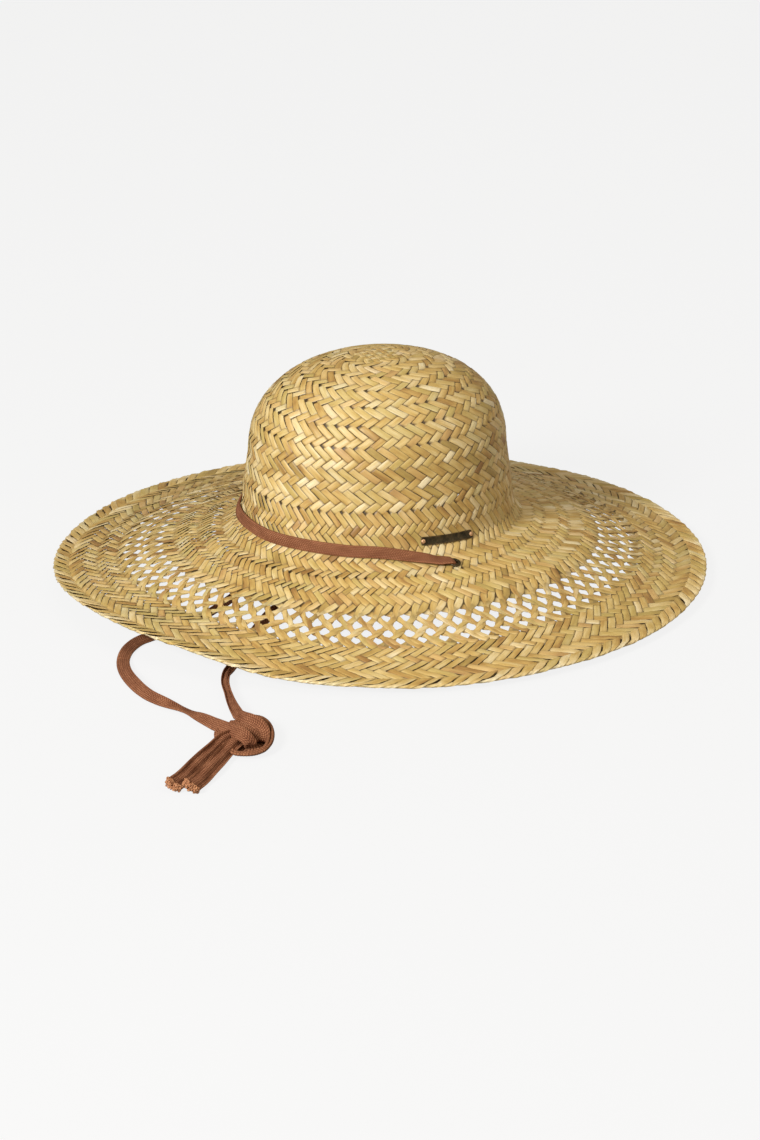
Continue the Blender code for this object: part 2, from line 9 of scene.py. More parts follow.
import bpy
import numpy as np
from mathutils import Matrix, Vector


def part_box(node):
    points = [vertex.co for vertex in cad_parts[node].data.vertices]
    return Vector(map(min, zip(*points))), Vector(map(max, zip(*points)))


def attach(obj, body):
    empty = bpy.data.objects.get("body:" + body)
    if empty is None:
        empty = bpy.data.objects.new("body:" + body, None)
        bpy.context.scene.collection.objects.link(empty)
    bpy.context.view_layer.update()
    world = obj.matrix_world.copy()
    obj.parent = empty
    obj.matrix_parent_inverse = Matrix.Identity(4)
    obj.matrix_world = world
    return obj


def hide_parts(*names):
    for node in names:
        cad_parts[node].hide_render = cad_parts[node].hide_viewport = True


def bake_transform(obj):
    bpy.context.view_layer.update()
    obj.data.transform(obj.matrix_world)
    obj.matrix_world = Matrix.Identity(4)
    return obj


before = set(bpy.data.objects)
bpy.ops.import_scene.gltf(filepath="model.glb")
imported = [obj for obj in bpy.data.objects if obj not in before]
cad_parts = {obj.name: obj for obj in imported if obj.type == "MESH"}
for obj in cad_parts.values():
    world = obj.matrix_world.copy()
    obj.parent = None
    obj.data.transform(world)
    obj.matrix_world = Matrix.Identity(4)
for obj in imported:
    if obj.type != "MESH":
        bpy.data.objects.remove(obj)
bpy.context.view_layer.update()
REST_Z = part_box("brim_edge")[0].z

# Straw surface, as in the CAD
BREAK_R = 0.0964  # mean outer radius of the corner between crown and brim
BREAK_OVAL = 0.0061
EDGE_R = 0.2371
EDGE_OVAL = 0.0019
EDGE_Z = 0.0034
BRIM_WIDTH = EDGE_R - BREAK_R
BRIM_SHIFT = 0.0035
BRIM_SLOPES = (10.0, 18.0, 22.5, 15.0, 3.0)
WALL_HEIGHT = 0.0536
WALL_TAPER = 0.055
DOME_HEIGHT = 0.0689
DOME_POWER = 2.29
FILLET = 0.0135
FILLET_END_R = 0.1115
LIFT_HEIGHT = 0.0135
LIFT_ANGLE = math.radians(-74)
LIFT_HALF_WIDTH = math.radians(56)

# Where the straw departs a little from the CAD's
BRIM_RAISE = 0.0034
BACK_TURN = math.radians(150)  # where the brim lies lowest
DIP_TURN = math.radians(-49)
DIP_WIDTH = math.radians(11)
WIDE_TURN = math.radians(-120)  # the brim is pulled out a little to this side
BELLY_Z = 0.068  # height at which the crown's wall is fullest

# Straw
STRAW_THICK = 0.00055
STRAW_HALF = 0.516  # half width of a straw, as a share of the spacing
LAYER_MIDDLE = -0.0008  # middle of the two layers of straw, from the outer face
LAYER_RISE = 0.00032  # a straw lies this far above or below the middle
SHINGLE = 0.00012  # one edge of each straw lies over its neighbour by this much
BUNDLE_TWIST = 0.22
BUNDLE_HALF = 0.352
BUNDLE_RISE = 0.00042
BUNDLE_CROSS = 0.00050
CLOSED_TURN = math.radians(-157)  # the open-work is pulled together a little here
STRAW_BACK = -0.0024  # inner face of the straw, from the outer one
WASHER_TOP = STRAW_BACK - 0.0003

# Places along the outline
L_EYELET = 0.1962
L_BAND = 0.1757
L_PLATE = 0.1738
PLATE_TURN = math.radians(3)
PLATE_SLANT = 0.0014  # its rear end sits this much further down the crown
RIVET_TURN = math.radians(11.2)

# Cord
CORD_THICK = 0.0020
FLOOR = CORD_THICK / 2 + 0.0001
CORD_STEP = 0.0004
SEAT = 0.0009
LIP_DEPTH = 0.0041
BAND_CLEAR = 0.0014
BAND_RISE = 0.0015

# View
VIEW_HEIGHT = math.radians(20.7)
VIEW_SIDE = math.radians(60)
VIEW_DISTANCE = 2.498
LENS_MM = 107.6
VIEW_RAY = np.array([
    -math.sin(VIEW_SIDE) * math.cos(VIEW_HEIGHT),
    math.cos(VIEW_SIDE) * math.cos(VIEW_HEIGHT),
    -math.sin(VIEW_HEIGHT),
])
FLOOR_GLOW = 0.855
FLOOR_UPLIGHT = 0.33
SHADE_REACH = 0.118

UP = np.array([0.0, 0.0, 1.0])
ROUND = 2 * math.pi
rng = np.random.default_rng(11)


# --- small helpers ---


def unit(vectors):
    return vectors / np.maximum(np.linalg.norm(vectors, axis=-1, keepdims=True), 1e-12)


def ease(value):
    value = np.clip(value, 0.0, 1.0)
    return value * value * (3 - 2 * value)


def bell(distance):
    return np.exp(-(distance**2))


def boxy(value, power):
    """Pushes a cosine or sine outward, so that a circle turns into a rounded box."""
    return np.sign(value) * np.abs(value) ** power


def run_along(points, axis=0):
    """Length walked along the points, at each of them."""
    steps = np.linalg.norm(np.diff(points, axis=axis), axis=-1)
    return np.concatenate([0 * np.take(steps, [0], axis), np.cumsum(steps, axis)], axis)


def layered(shape, *values):
    """Values of one attribute, each spread over all the points of a piece."""
    return np.stack([np.broadcast_to(value, shape) for value in values], -1)


def normals_of(line, lengths):
    along = unit(np.gradient(line, lengths, axis=0))
    return np.stack([-along[:, 1], along[:, 0]], 1)


def off_line(line, lengths, normals, at, height):
    """(radius, z) at these lengths along a line of a section, this high above it."""
    pairs = zip(line.T, normals.T)
    return [np.interp(at, lengths, place) + np.interp(at, lengths, out) * height for place, out in pairs]


def in_frame(point):
    return Vector(point) + Vector((0, 0, REST_Z))


# --- straw surface ---


def brim_share(radius):
    """0 up to the corner between crown and brim, 1 at the edge."""
    return np.maximum(0.0, (radius - BREAK_R) / BRIM_WIDTH)


def oval(radius):
    """How far the plan departs from a circle at this mean radius."""
    outside = BREAK_OVAL + (EDGE_OVAL - BREAK_OVAL) * brim_share(radius)
    return np.where(radius < BREAK_R, BREAK_OVAL * radius / BREAK_R, outside)


def turned(turn, start):
    """Angle from start, between half a turn back and half a turn on."""
    return (turn - start + math.pi) % ROUND - math.pi


def lift(turn, radius):
    away = np.clip(turned(turn, LIFT_ANGLE) / LIFT_HALF_WIDTH, -1.0, 1.0)
    return LIFT_HEIGHT * np.cos(math.pi / 2 * away) ** 2 * brim_share(radius) ** 2


def sway(turn, radius):
    """Slight waves that a brim takes on with use, none of them below the plane it rests on."""
    wave = 2 + np.sin(3 * turn + 0.6) + 0.6 * np.sin(7 * turn + 2.1) + 0.4 * np.sin(11 * turn)
    back = np.maximum(0.0, np.cos(turn - BACK_TURN)) ** 2
    dip = bell(turned(turn, DIP_TURN) / DIP_WIDTH)
    return (0.0004 * wave + BRIM_RAISE * (1 - back - dip)) * brim_share(radius) ** 2


def warp(turn, radius, z):
    """Takes a point of the round hat to the oval one, with its brim shifted back and lifted."""
    share = np.minimum(1.0, 2 * brim_share(radius))
    wide = np.cos(turn - WIDE_TURN)
    stretch = (0.0034 * np.maximum(0.0, wide) ** 4 + 0.0013 * np.maximum(0.0, -wide) ** 4) * share**2
    belly = 0.0012 * bell((z - BELLY_Z) / 0.022) * (1 - share)
    radius = radius + stretch + belly
    x = (radius - oval(radius)) * np.cos(turn)
    y = (radius + oval(radius)) * np.sin(turn) + BRIM_SHIFT * share
    return np.stack([x, y, z + lift(turn, radius) + sway(turn, radius)], axis=-1)


def brim_line(steps=280):
    """(radius, height) down the top of the brim, from the break to the edge."""
    last = len(BRIM_SLOPES) - 1
    slopes = np.interp((np.arange(steps) + 0.5) / steps * last, np.arange(last + 1), BRIM_SLOPES)
    drops = np.concatenate([[0.0], np.cumsum(np.tan(np.radians(slopes)) * BRIM_WIDTH / steps)])
    return np.stack([BREAK_R + BRIM_WIDTH * np.arange(steps + 1) / steps, EDGE_Z + drops[-1] - drops], 1)


def outline():
    """(radius, height) along the outside of the straw, from the top of the crown to the edge."""
    brim = brim_line()
    corner = brim[0]
    top = np.array([BREAK_R * (1 - WALL_TAPER), corner[1] + WALL_HEIGHT])
    turns = math.pi / 2 * (1 - np.arange(160) / 160)
    power = 2 / DOME_POWER
    cosines = np.maximum(np.cos(turns), 0.0)
    dome = np.stack([top[0] * cosines**power, top[1] + DOME_HEIGHT * np.sin(turns) ** power], 1)
    wall_end = corner + unit(top - corner) * FILLET
    brim = brim[brim[:, 0] > FILLET_END_R]
    t = np.linspace(0, 1, 40)[:, None]
    bend = wall_end * (1 - t) ** 2 + corner * 2 * t * (1 - t) + brim[0] * t**2
    return np.concatenate([dome, [top], bend, brim[1:]])


OUTLINE = outline()
OUT_L = run_along(OUTLINE)
NORMALS = normals_of(OUTLINE, OUT_L)
NORMALS[0] = (0.0, 1.0)


def on_straw(turn, length, height=0.0):
    """Points of the hat at these turns, lengths along the outline and heights above the straw."""
    radius, z = off_line(OUTLINE, OUT_L, NORMALS, length, height)
    past = np.maximum(0.0, np.asarray(length) - OUT_L[-1])
    return warp(np.asarray(turn), radius + past, z)


# --- meshes ---


def add_object(name, data):
    obj = bpy.data.objects.new(name, data)
    bpy.context.scene.collection.objects.link(obj)
    return obj


def add_mesh(name, points, quads, mat, grain=None, tone=None, sharp=None):
    """A mesh of quads, set down into the frame, with its two surface attributes."""
    points = points.reshape(-1, 3) + UP * REST_Z
    a, b, c, d = (points[quads[:, k]] for k in range(4))
    volume = np.einsum("ij,ij->i", a, np.cross(b, c)) + np.einsum("ij,ij->i", a, np.cross(c, d))
    if volume.sum() < 0:
        quads = quads[:, ::-1]
    mesh = bpy.data.meshes.new(name)
    mesh.vertices.add(len(points))
    mesh.vertices.foreach_set("co", points.ravel())
    mesh.loops.add(quads.size)
    mesh.loops.foreach_set("vertex_index", np.ascontiguousarray(quads).ravel().astype(np.int32))
    mesh.polygons.add(len(quads))
    mesh.polygons.foreach_set("loop_start", np.arange(len(quads), dtype=np.int32) * 4)
    mesh.update(calc_edges=True)
    mesh.validate()
    for label, values in (("grain", grain), ("tone", tone)):
        if values is not None:
            layer = mesh.attributes.new(label, "FLOAT_VECTOR", "POINT")
            layer.data.foreach_set("vector", values.reshape(-1, 3).ravel())
    mesh.shade_smooth()
    if sharp is not None:
        mesh.set_sharp_from_angle(angle=math.radians(sharp))
    mesh.materials.append(mat)
    return add_object(name, mesh)


def stand_for(piece, node, body=None):
    """Lets a piece take the place of a CAD node, and parents it to the body's empty if a body is given."""
    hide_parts(node)
    if body:
        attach(piece, body)


def join_pieces(name, pieces):
    bpy.ops.object.select_all(action="DESELECT")
    for piece in pieces:
        piece.select_set(True)
    bpy.context.view_layer.objects.active = pieces[0]
    bpy.ops.object.join()
    joined = bpy.context.view_layer.objects.active
    joined.name = joined.data.name = name
    return joined


def tube_quads(tubes, stations, corners, closed=False):
    """Quads of tubes whose points run tube by tube, station by station, corner by corner."""
    tube, station, corner = np.indices((tubes, stations if closed else stations - 1, corners))
    after = (station + 1) % stations
    beside = (corner + 1) % corners
    around = ((station, corner), (after, corner), (after, beside), (station, beside))
    sides = np.stack([(tube * stations + s) * corners + c for s, c in around], -1).reshape(-1, 4)
    if closed:
        return sides
    caps = []
    for k in range(corners // 2 - 1):
        for s, order in ((0, 1), (stations - 1, -1)):
            cap = np.array([k, k + 1, corners - 2 - k, corners - 1 - k])[::order]
            caps.append((np.arange(tubes)[:, None] * stations + s) * corners + cap)
    return np.concatenate([sides, *caps])


def smooth_path(points, step=CORD_STEP):
    """Catmull-Rom curve through the points, at even steps along it."""
    points = np.asarray(points, float)
    padded = np.concatenate([[2 * points[0] - points[1]], points, [2 * points[-1] - points[-2]]])
    t = np.linspace(0, 1, 40, endpoint=False)[:, None]
    spans = []
    for p0, p1, p2, p3 in zip(padded, padded[1:], padded[2:], padded[3:]):
        square = (2 * p0 - 5 * p1 + 4 * p2 - p3) * t**2
        cube = (3 * p1 - p0 - 3 * p2 + p3) * t**3
        spans.append(0.5 * (2 * p1 + (p2 - p0) * t + square + cube))
    dense = np.concatenate([*spans, points[-1:]])
    along = run_along(dense[:, :3])
    even = np.linspace(0, along[-1], max(4, int(round(along[-1] / step)) + 1))
    return np.stack([np.interp(even, along, column) for column in dense.T], 1), even


# --- materials ---


class Shader:
    """A short way to write node materials."""

    def __init__(self, name):
        self.material = bpy.data.materials.new(name)
        self.material.use_nodes = True
        self.nodes = self.material.node_tree.nodes
        self.nodes.clear()
        output = self.nodes.new("ShaderNodeOutputMaterial")
        self.surface = self.nodes.new("ShaderNodeBsdfPrincipled")
        self.link(self.surface.outputs[0], output.inputs["Surface"])

    def link(self, source, socket):
        if isinstance(source, (int, float)):
            socket.default_value = source
        elif isinstance(source, tuple):
            socket.default_value = source if len(source) != 3 or socket.type != "RGBA" else (*source, 1.0)
        else:
            self.material.node_tree.links.new(source, socket)

    def node(self, kind, inputs=None, **settings):
        made = self.nodes.new("ShaderNode" + kind)
        for key, value in settings.items():
            setattr(made, key, value)
        for key, value in (inputs or {}).items():
            self.link(value, made.inputs[key])
        return made

    def math(self, operation, a, b=0.0, clamp=False):
        return self.node("Math", {0: a, 1: b}, operation=operation, use_clamp=clamp).outputs[0]

    def times(self, a, b):
        return self.math("MULTIPLY", a, b)

    def plus(self, a, b, clamp=False):
        return self.math("ADD", a, b, clamp)

    def sine(self, a):
        return self.math("SINE", a)

    def attribute(self, name):
        vector = self.node("Attribute", attribute_name=name).outputs["Vector"]
        return self.node("SeparateXYZ", {0: vector}).outputs

    def grain(self):
        """Share of the half width across a piece, metres along it and its seed."""
        self.across, self.along, seed = self.attribute("grain")
        return self.across, self.along, seed

    def place(self):
        return self.node("TexCoord").outputs["Object"]

    def noise(self, vector, scale, detail=2.0, rough=0.5):
        inputs = {"Vector": vector, "Scale": scale, "Detail": detail, "Roughness": rough}
        return self.node("TexNoise", inputs).outputs["Fac"]

    def streaks(self, across, along, seed, *noise):
        """Noise stretched by these two factors across and along the grain."""
        scaled = {0: self.times(self.across, across), 1: self.times(self.along, along), 2: seed}
        return self.noise(self.node("CombineXYZ", scaled).outputs[0], *noise)

    def spread(self, value, low, high, to_low=0.0, to_high=1.0):
        inputs = {"Value": value, "From Min": low, "From Max": high, "To Min": to_low, "To Max": to_high}
        return self.node("MapRange", inputs).outputs[0]

    def ramp(self, value, *stops):
        """Stops are (place, red, green, blue)."""
        made = self.node("ValToRGB", {0: value})
        elements = made.color_ramp.elements
        while len(elements) < len(stops):
            elements.new(0.5)
        for element, (place, *color) in zip(elements, stops):
            element.position = place
            element.color = (*color, 1.0)
        return made.outputs[0]

    def layers(self, color, *layers):
        """Mixes (share, color) layers over a color, one after the other."""
        for share, layer in layers:
            color = self.node("MixRGB", {0: share, 1: color, 2: layer}, blend_type="MIX").outputs[0]
        return color

    def bump(self, height, distance, strength=1.0):
        return self.node("Bump", {"Height": height, "Distance": distance, "Strength": strength}).outputs[0]

    def finish(self, color, rough, normal=None, **others):
        sockets = {"Base_Color": color, "Roughness": rough, "Normal": normal, **others}
        for socket, value in sockets.items():
            if value is not None:
                self.link(value, self.surface.inputs[socket.replace("_", " ")])
        return self.material


def straw_material():
    """Flattened rush: cream to olive, fine ribs along each straw, with painted shade where it dives under,
    along its edges and in the gaps between straws.
    """
    s = Shader("straw_rush")
    seed = s.grain()[2]
    shade, tuck_shade, gap_shade = s.attribute("tone")
    offset = s.times(seed, 37.0)
    ribs = s.streaks(5.0, 30.0, offset, 1.6, 4.0, 0.6)
    fibres = s.streaks(16.0, 55.0, offset, 1.5, 3.0, 0.65)
    patches = s.streaks(0.7, 55.0, offset, 1.0)
    specks = s.streaks(3.0, 240.0, offset, 1.7)
    tone = s.plus(shade, s.spread(patches, 0.3, 0.7, -0.22, 0.22))
    tone = s.plus(tone, s.spread(fibres, 0.25, 0.75, -0.10, 0.10), clamp=True)
    color = s.ramp(
        tone,
        (0.0, 0.27, 0.135, 0.034),
        (0.2, 0.42, 0.246, 0.064),
        (0.42, 0.55, 0.370, 0.112),
        (0.62, 0.645, 0.475, 0.192),
        (0.82, 0.73, 0.580, 0.300),
        (1.0, 0.80, 0.690, 0.440),
    )
    hue = s.node("TexWhiteNoise", {"W": s.times(seed, 91.0)}, noise_dimensions="1D").outputs["Value"]
    color = s.layers(
        color,
        (s.spread(hue, 0.62, 1.0, 0.0, 0.55), (0.43, 0.36, 0.105)),
        (s.spread(hue, 0.22, 0.0, 0.0, 0.38), (0.66, 0.42, 0.20)),
        (s.spread(specks, 0.66, 0.74, 0.0, 0.45), (0.27, 0.13, 0.04)),
        (s.spread(ribs, 0.35, 0.7, 0.0, 0.35), (0.35, 0.215, 0.065)),
        # painted shade where a straw dives under the other set and along its edges
        (s.times(tuck_shade, 0.84), (0.10, 0.048, 0.014)),
        # painted shade on faces seen through the gaps between straws
        (s.times(gap_shade, 0.93), (0.035, 0.017, 0.006)),
    )
    relief = s.bump(s.plus(ribs, s.times(fibres, 0.5)), 0.00016, 0.7)
    return s.finish(color, s.spread(fibres, 0.3, 0.7, 0.38, 0.58), relief, Specular_IOR_Level=0.58)


def cord_material():
    """Russet knitted tape: columns of slanting stitches with paler flecks on the worn edges."""
    s = Shader("cord_knit")
    across, along, seed = s.grain()
    out = s.math("ABSOLUTE", across)
    stitches = s.sine(s.times(s.plus(s.times(along, 1150.0), s.times(out, 3.4)), math.pi))
    columns = s.sine(s.times(across, math.pi * 7))
    knit = s.plus(s.times(stitches, 0.5), s.times(columns, 0.35))
    fuzz = s.streaks(4.0, 1000.0, seed, 2.2, 3.0, 0.7)
    wash = s.streaks(1.0, 90.0, seed, 1.0)
    mottle = s.streaks(2.6, 420.0, seed, 2.4, 2.0, 0.6)
    base = s.ramp(
        s.plus(s.spread(knit, -0.85, 0.85, 0.0, 0.80), s.spread(wash, 0.3, 0.7, 0.0, 0.20)),
        (0.0, 0.045, 0.013, 0.005),
        (0.4, 0.170, 0.060, 0.028),
        (0.72, 0.300, 0.125, 0.062),
        (1.0, 0.48, 0.230, 0.125),
    )
    worn = s.times(s.spread(out, 0.72, 1.0, 0.0, 0.45), s.spread(fuzz, 0.35, 0.65))
    color = s.layers(
        base,
        (worn, (0.44, 0.20, 0.095)),
        (s.spread(mottle, 0.40, 0.62, 0.42, 0.0), (0.085, 0.027, 0.012)),
        (s.spread(fuzz, 0.62, 0.70, 0.0, 0.55), (0.46, 0.235, 0.13)),
    )
    relief = s.bump(s.plus(knit, s.times(fuzz, 0.9)), 0.00012, 0.8)
    return s.finish(color, s.spread(fuzz, 0.3, 0.7, 0.78, 0.95), relief, Specular_IOR_Level=0.15)


def fray_material():
    """Loose ends of the cord's threads, paler where they catch the light."""
    s = Shader("frayed_thread")
    twist = s.noise(s.place(), 900.0, 3.0)
    color = s.ramp(twist, (0.3, 0.20, 0.075, 0.030), (0.55, 0.42, 0.185, 0.080), (0.75, 0.62, 0.34, 0.175))
    return s.finish(color, s.spread(twist, 0.3, 0.7, 0.7, 0.9), s.bump(twist, 0.0001))


def bronze_material(name, wear=0.5, rub=1.0):
    """Dark aged bronze, rubbed to copper on its high places and edges."""
    s = Shader(name)
    place = s.place()
    fine = s.noise(place, 1400.0, 4.0, 0.6)
    broad = s.noise(place, 260.0, 3.0, 0.6)
    bevel = s.node("Bevel", {"Radius": 0.0004}, samples=4).outputs[0]
    normal = s.node("NewGeometry").outputs["Normal"]
    facing = s.node("VectorMath", {0: bevel, 1: normal}, operation="DOT_PRODUCT").outputs["Value"]
    edges = s.spread(facing, 0.90, 0.998, 1.0, 0.0)
    rubbed = s.math("MULTIPLY", edges, s.spread(broad, 0.35, 0.65, 0.2 * rub, rub), clamp=True)
    rubbed = s.plus(rubbed, s.spread(fine, 0.62, 0.74, 0.0, wear), clamp=True)
    dark = s.ramp(broad, (0.3, 0.026, 0.020, 0.010), (0.55, 0.060, 0.045, 0.022), (0.75, 0.120, 0.082, 0.038))
    color = s.layers(dark, (rubbed, (0.50, 0.30, 0.15)))
    relief = s.bump(s.plus(fine, s.times(broad, 1.5)), 0.00010, 0.8)
    rough = s.spread(fine, 0.3, 0.7, 0.34, 0.58)
    return s.finish(color, rough, relief, Metallic=s.spread(rubbed, 0.0, 1.0, 0.72, 1.0))


def copper_material():
    """Rivet heads worn bright."""
    s = Shader("rubbed_copper_rivets")
    worn = s.noise(s.place(), 900.0, 3.0)
    color = s.ramp(worn, (0.3, 0.50, 0.26, 0.12), (0.7, 0.90, 0.58, 0.34))
    return s.finish(color, s.spread(worn, 0.3, 0.7, 0.42, 0.30), s.bump(worn, 0.00006, 0.6), Metallic=0.7)


def cotton_material():
    """Ribbed cotton tape, yarns running round the band, faintly uneven in colour."""
    s = Shader("sweatband_cotton_tape")
    across, along, seed = s.grain()
    yarns = s.sine(s.times(along, ROUND * 1100.0))
    picks = s.sine(s.times(across, math.pi * 46))
    cloth = s.times(s.plus(yarns, 1.4), s.plus(picks, 1.6))
    slub = s.streaks(3.0, 300.0, seed, 1.5, 4.0)
    color = s.ramp(slub, (0.25, 0.50, 0.39, 0.25), (0.55, 0.64, 0.52, 0.36), (0.8, 0.72, 0.61, 0.44))
    color = s.layers(color, (s.spread(cloth, 0.2, 4.5, 0.45, 0.0), (0.36, 0.27, 0.16)))
    relief = s.bump(s.plus(cloth, slub), 0.00012, 0.7)
    return s.finish(color, s.spread(slub, 0.3, 0.7, 0.82, 0.95), relief, Sheen_Weight=0.1)


def thread_material():
    """Two-ply thread, paler on the crest of each ply."""
    s = Shader("sewing_thread")
    across, along, seed = s.grain()
    ply = s.sine(s.plus(s.times(along, 9000.0), s.times(across, 3.1)))
    fuzz = s.streaks(1.0, 900.0, seed, 2.0, 3.0)
    color = s.layers((0.50, 0.40, 0.25), (s.spread(ply, -1.0, 1.0), (0.82, 0.73, 0.54)))
    return s.finish(color, s.spread(fuzz, 0.3, 0.7, 0.6, 0.8), s.bump(ply, 0.00008))


# --- weaving ---

# Corners of a flattened straw: across (share of half width), height (share of thickness)
ACROSS, RISE = np.array([
    (-1.0, -0.05), (-0.84, 0.40), (-0.3, 0.50), (0.34, 0.43),
    (0.84, 0.40), (1.0, -0.05), (0.8, -0.5), (-0.8, -0.5),
]).T
EDGE_SHADE = np.where(ACROSS > 0.95, 0.35, 0.85 * (ACROSS < -0.95))  # painted shade along a straw's edges, deepest on the edge that lies under its neighbour
TOP_CORNER = 3


class Pattern:
    """Which set of straws is on top at each level: the sides switch at the given levels."""

    def __init__(self, switches, marks=(0.05, 0.15, 0.26)):
        self.switches = np.array(switches)
        self.marks = marks

    def side(self, level, dive=0.15):
        """+1 where the first set is on top, -1 where the second is, eased at each switch."""
        side = np.full(level.shape, -1.0)
        for k, switch in enumerate(self.switches):
            side = side + 2 * (-1) ** k * ease((level - switch + dive) / (2 * dive))
        return side

    def near(self, level, reach=0.16):
        """1 at a switch, falling to 0 at the reach."""
        return bell(np.min(np.abs(level[..., None] - self.switches), axis=-1) / reach)

    def stations(self, start, end, spacing):
        marks = [start, end]
        for switch in self.switches:
            marks += [switch + sign * d for d in self.marks for sign in (-1, 1)]
        marks = sorted(m for m in marks if start <= m <= end)
        filled = [marks[0]]
        for mark in marks[1:]:
            gap = mark - filled[-1]
            if gap >= 0.03:
                steps = int(gap / spacing) + 1
                filled += [filled[-1] + gap * (k + 1) / steps for k in range(steps - 1)] + [mark]
        return np.array(filled)


def weave(
    count, rows, pattern, family, span, relief=1.2, gather=None, spacing=0.75, shade=0.5, sink_from=99.0
):
    """Straws of one set, as (points, grain, tone) arrays of shape (straws, stations, corners, 3).

    family is +1 for the set that leans one way and -1 for the other. A straw of a set keeps its own
    index and crosses one straw of the other set at each whole level.
    """
    station = pattern.stations(*span, spacing)
    per_straw, per_station = (count, 1, 1), (count, len(station), 1)
    index = np.arange(count, dtype=float)[:, None, None]
    t = station[None, :, None]
    side = pattern.side(t) * family
    near = pattern.near(t)
    toward = np.cos((2 * index + family * t) * math.pi / count - CLOSED_TURN)
    g = (gather(t) if gather else 0 * t) * (1 - 0.38 * np.maximum(0.0, toward) ** 2)
    partner = np.where(index % 2 == 0, 0.5, -0.5)
    hand = -np.sign(partner)
    twist = math.pi / 2 * (t - family * partner)
    # low waves along each straw, so that no two run exactly alike
    phase = rng.uniform(0, ROUND, per_straw)
    wander = 0.035 * np.sin(t * 0.9 + phase) + rng.normal(0, 0.012, per_station)
    half = STRAW_HALF * (1 - 0.045 * near) * (1 - g) + BUNDLE_HALF * g
    half = half * (1 + rng.normal(0, 0.03, per_straw))
    own = index + g * (partner + hand * BUNDLE_TWIST * np.cos(twist)) + wander + ACROSS * half
    other = index + family * t
    thick = STRAW_THICK * (1 + 0.55 * g) * (1 + rng.normal(0, 0.08, per_straw))
    layer = (1 - g) * LAYER_RISE * (0.6 + 0.4 * relief) * side
    bundle = g * (BUNDLE_CROSS * family * np.cos(twist) + hand * BUNDLE_RISE * np.sin(twist))
    tilt = rng.normal(SHINGLE, 0.00005, per_station) + rng.normal(0, 0.00007, per_straw)
    tilt = relief * tilt * (1 - 0.7 * g)
    swell = rng.normal(1.0, 0.35, per_straw) * 0.00012 * (1 - ACROSS**2)
    sag = rng.normal(0, 0.00004, per_station) - 0.0009 * ease(t - sink_from)
    height = LAYER_MIDDLE + layer + bundle + sag + thick * RISE + tilt * ACROSS + swell
    points = on_straw((own + other) * math.pi / count, np.interp(family * (other - own), *rows), height)
    run = run_along(points[:, :, TOP_CORNER], 1)
    shape = points.shape[:3]
    grain = layered(shape, ACROSS, run[:, :, None], rng.uniform(0, 1, per_straw))
    own_shade = rng.normal(shade, 0.17, per_straw)
    drift = 0.10 * np.sin(t * 0.63 + rng.uniform(0, 6.3, per_straw))
    # painted shade where a straw dives under at each switch, and in the creases of a twisted bundle
    tuck_shade = np.clip(0.6 * near * (1 - g) + 0.3 * g * np.cos(twist) ** 6, 0, 1)
    # painted shade on the faces that look at the other set through the gaps between its straws
    gap_shade = np.clip(np.where(RISE > 0.1, -side, side), 0, 1) * (1 - g)
    return points, grain, layered(shape, own_shade + drift, np.clip(tuck_shade + EDGE_SHADE, 0, 1), gap_shade)


def join_straws(name, node, groups, mat):
    """One object from several groups of straws."""
    quads, base = [], 0
    for points, _, _ in groups:
        quads.append(tube_quads(*points.shape[:3]) + base)
        base += points.size // 3
    points, grain, tone = (np.concatenate([part.reshape(-1, 3) for part in parts]) for parts in zip(*groups))
    stand_for(add_mesh(name, points, np.concatenate(quads), mat, grain, tone, 38), node, "hat")


def row_levels(lengths):
    """Levels and lengths of rows 2.5 levels apart. The first is at level -1.5."""
    levels = -1.5 + 2.5 * np.arange(len(lengths))
    first = lengths[0] - (lengths[1] - lengths[0]) * 0.4
    last = lengths[-1] + (lengths[-1] - lengths[-2]) * 0.4
    return np.hstack([levels[0] - 1, levels, levels[-1] + 1]), np.hstack([first, lengths, last])


def rows_pattern(rows):
    """Alternating rows: three crossings of the first set, then two of the second."""
    return Pattern(-0.5 + np.cumsum([0.0, *(3.0 if row % 2 == 0 else 2.0 for row in range(rows))]))


# Lengths along the outline are in millimetres here
DOME_ROWS = np.array([5.3, 13.0, *np.arange(20.9, 95, 7.8), 99.0, 106.7]) / 1000
DOME_COUNTS = (14, 25, 36, 46, 56, 64)
WALL_COUNT = 72
WALL_ROWS = np.array([99.0, 106.7, 114.6, 122.3, 130.1, 137.6, 145.3, 153.7]) / 1000
INNER_COUNT = 107
INNER_ROWS = np.array([145.3, 153.7, 162.3, 170.0, 181.5, 190.0, 198.2, 209.0]) / 1000
OUTER_COUNT = 150
OUTER_ROWS = np.array([
    (-2.5, 194.0), (-1.5, 198.2), (1.0, 209.0), (3.5, 217.2), (6.0, 226.5), (8.5, 236.5),
    (9.0, 239.6), (11.0, 250.0), (13.0, 258.0), (15.0, 266.0), (17.0, 273.6), (20.0, 282.5),
    (22.5, 290.3), (25.0, 298.5), (27.5, 307.0), (31.0, 318.0),
]).T * [[1], [0.001]]
OUTER_SWITCHES = (-0.5, 2.5, 4.5, 7.5, 9.6, 18.5, 21.5, 23.5, 26.5)


def openwork_gather(level):
    return np.interp(level, (8.2, 9.0, 10.3, 11.0, 15.6, 17.0, 18.4), (0.0, 0.3, 0.85, 1.0, 1.0, 0.55, 0.0))


def dome(mat):
    """Rows of floats that grow in number outward. Each float is tucked under both its neighbours."""
    groups = []
    for block, count in enumerate(DOME_COUNTS):
        rows = row_levels(DOME_ROWS[2 * block : 2 * block + 4])
        for family, span in ((1, (-1.4, 3.4)), (-1, (1.1, 5.9))):
            groups.append(weave(count, rows, rows_pattern(3), family, span, shade=0.55))
    join_straws("straw_crown_top", "crown_tip", [*groups, start_plait()], mat)


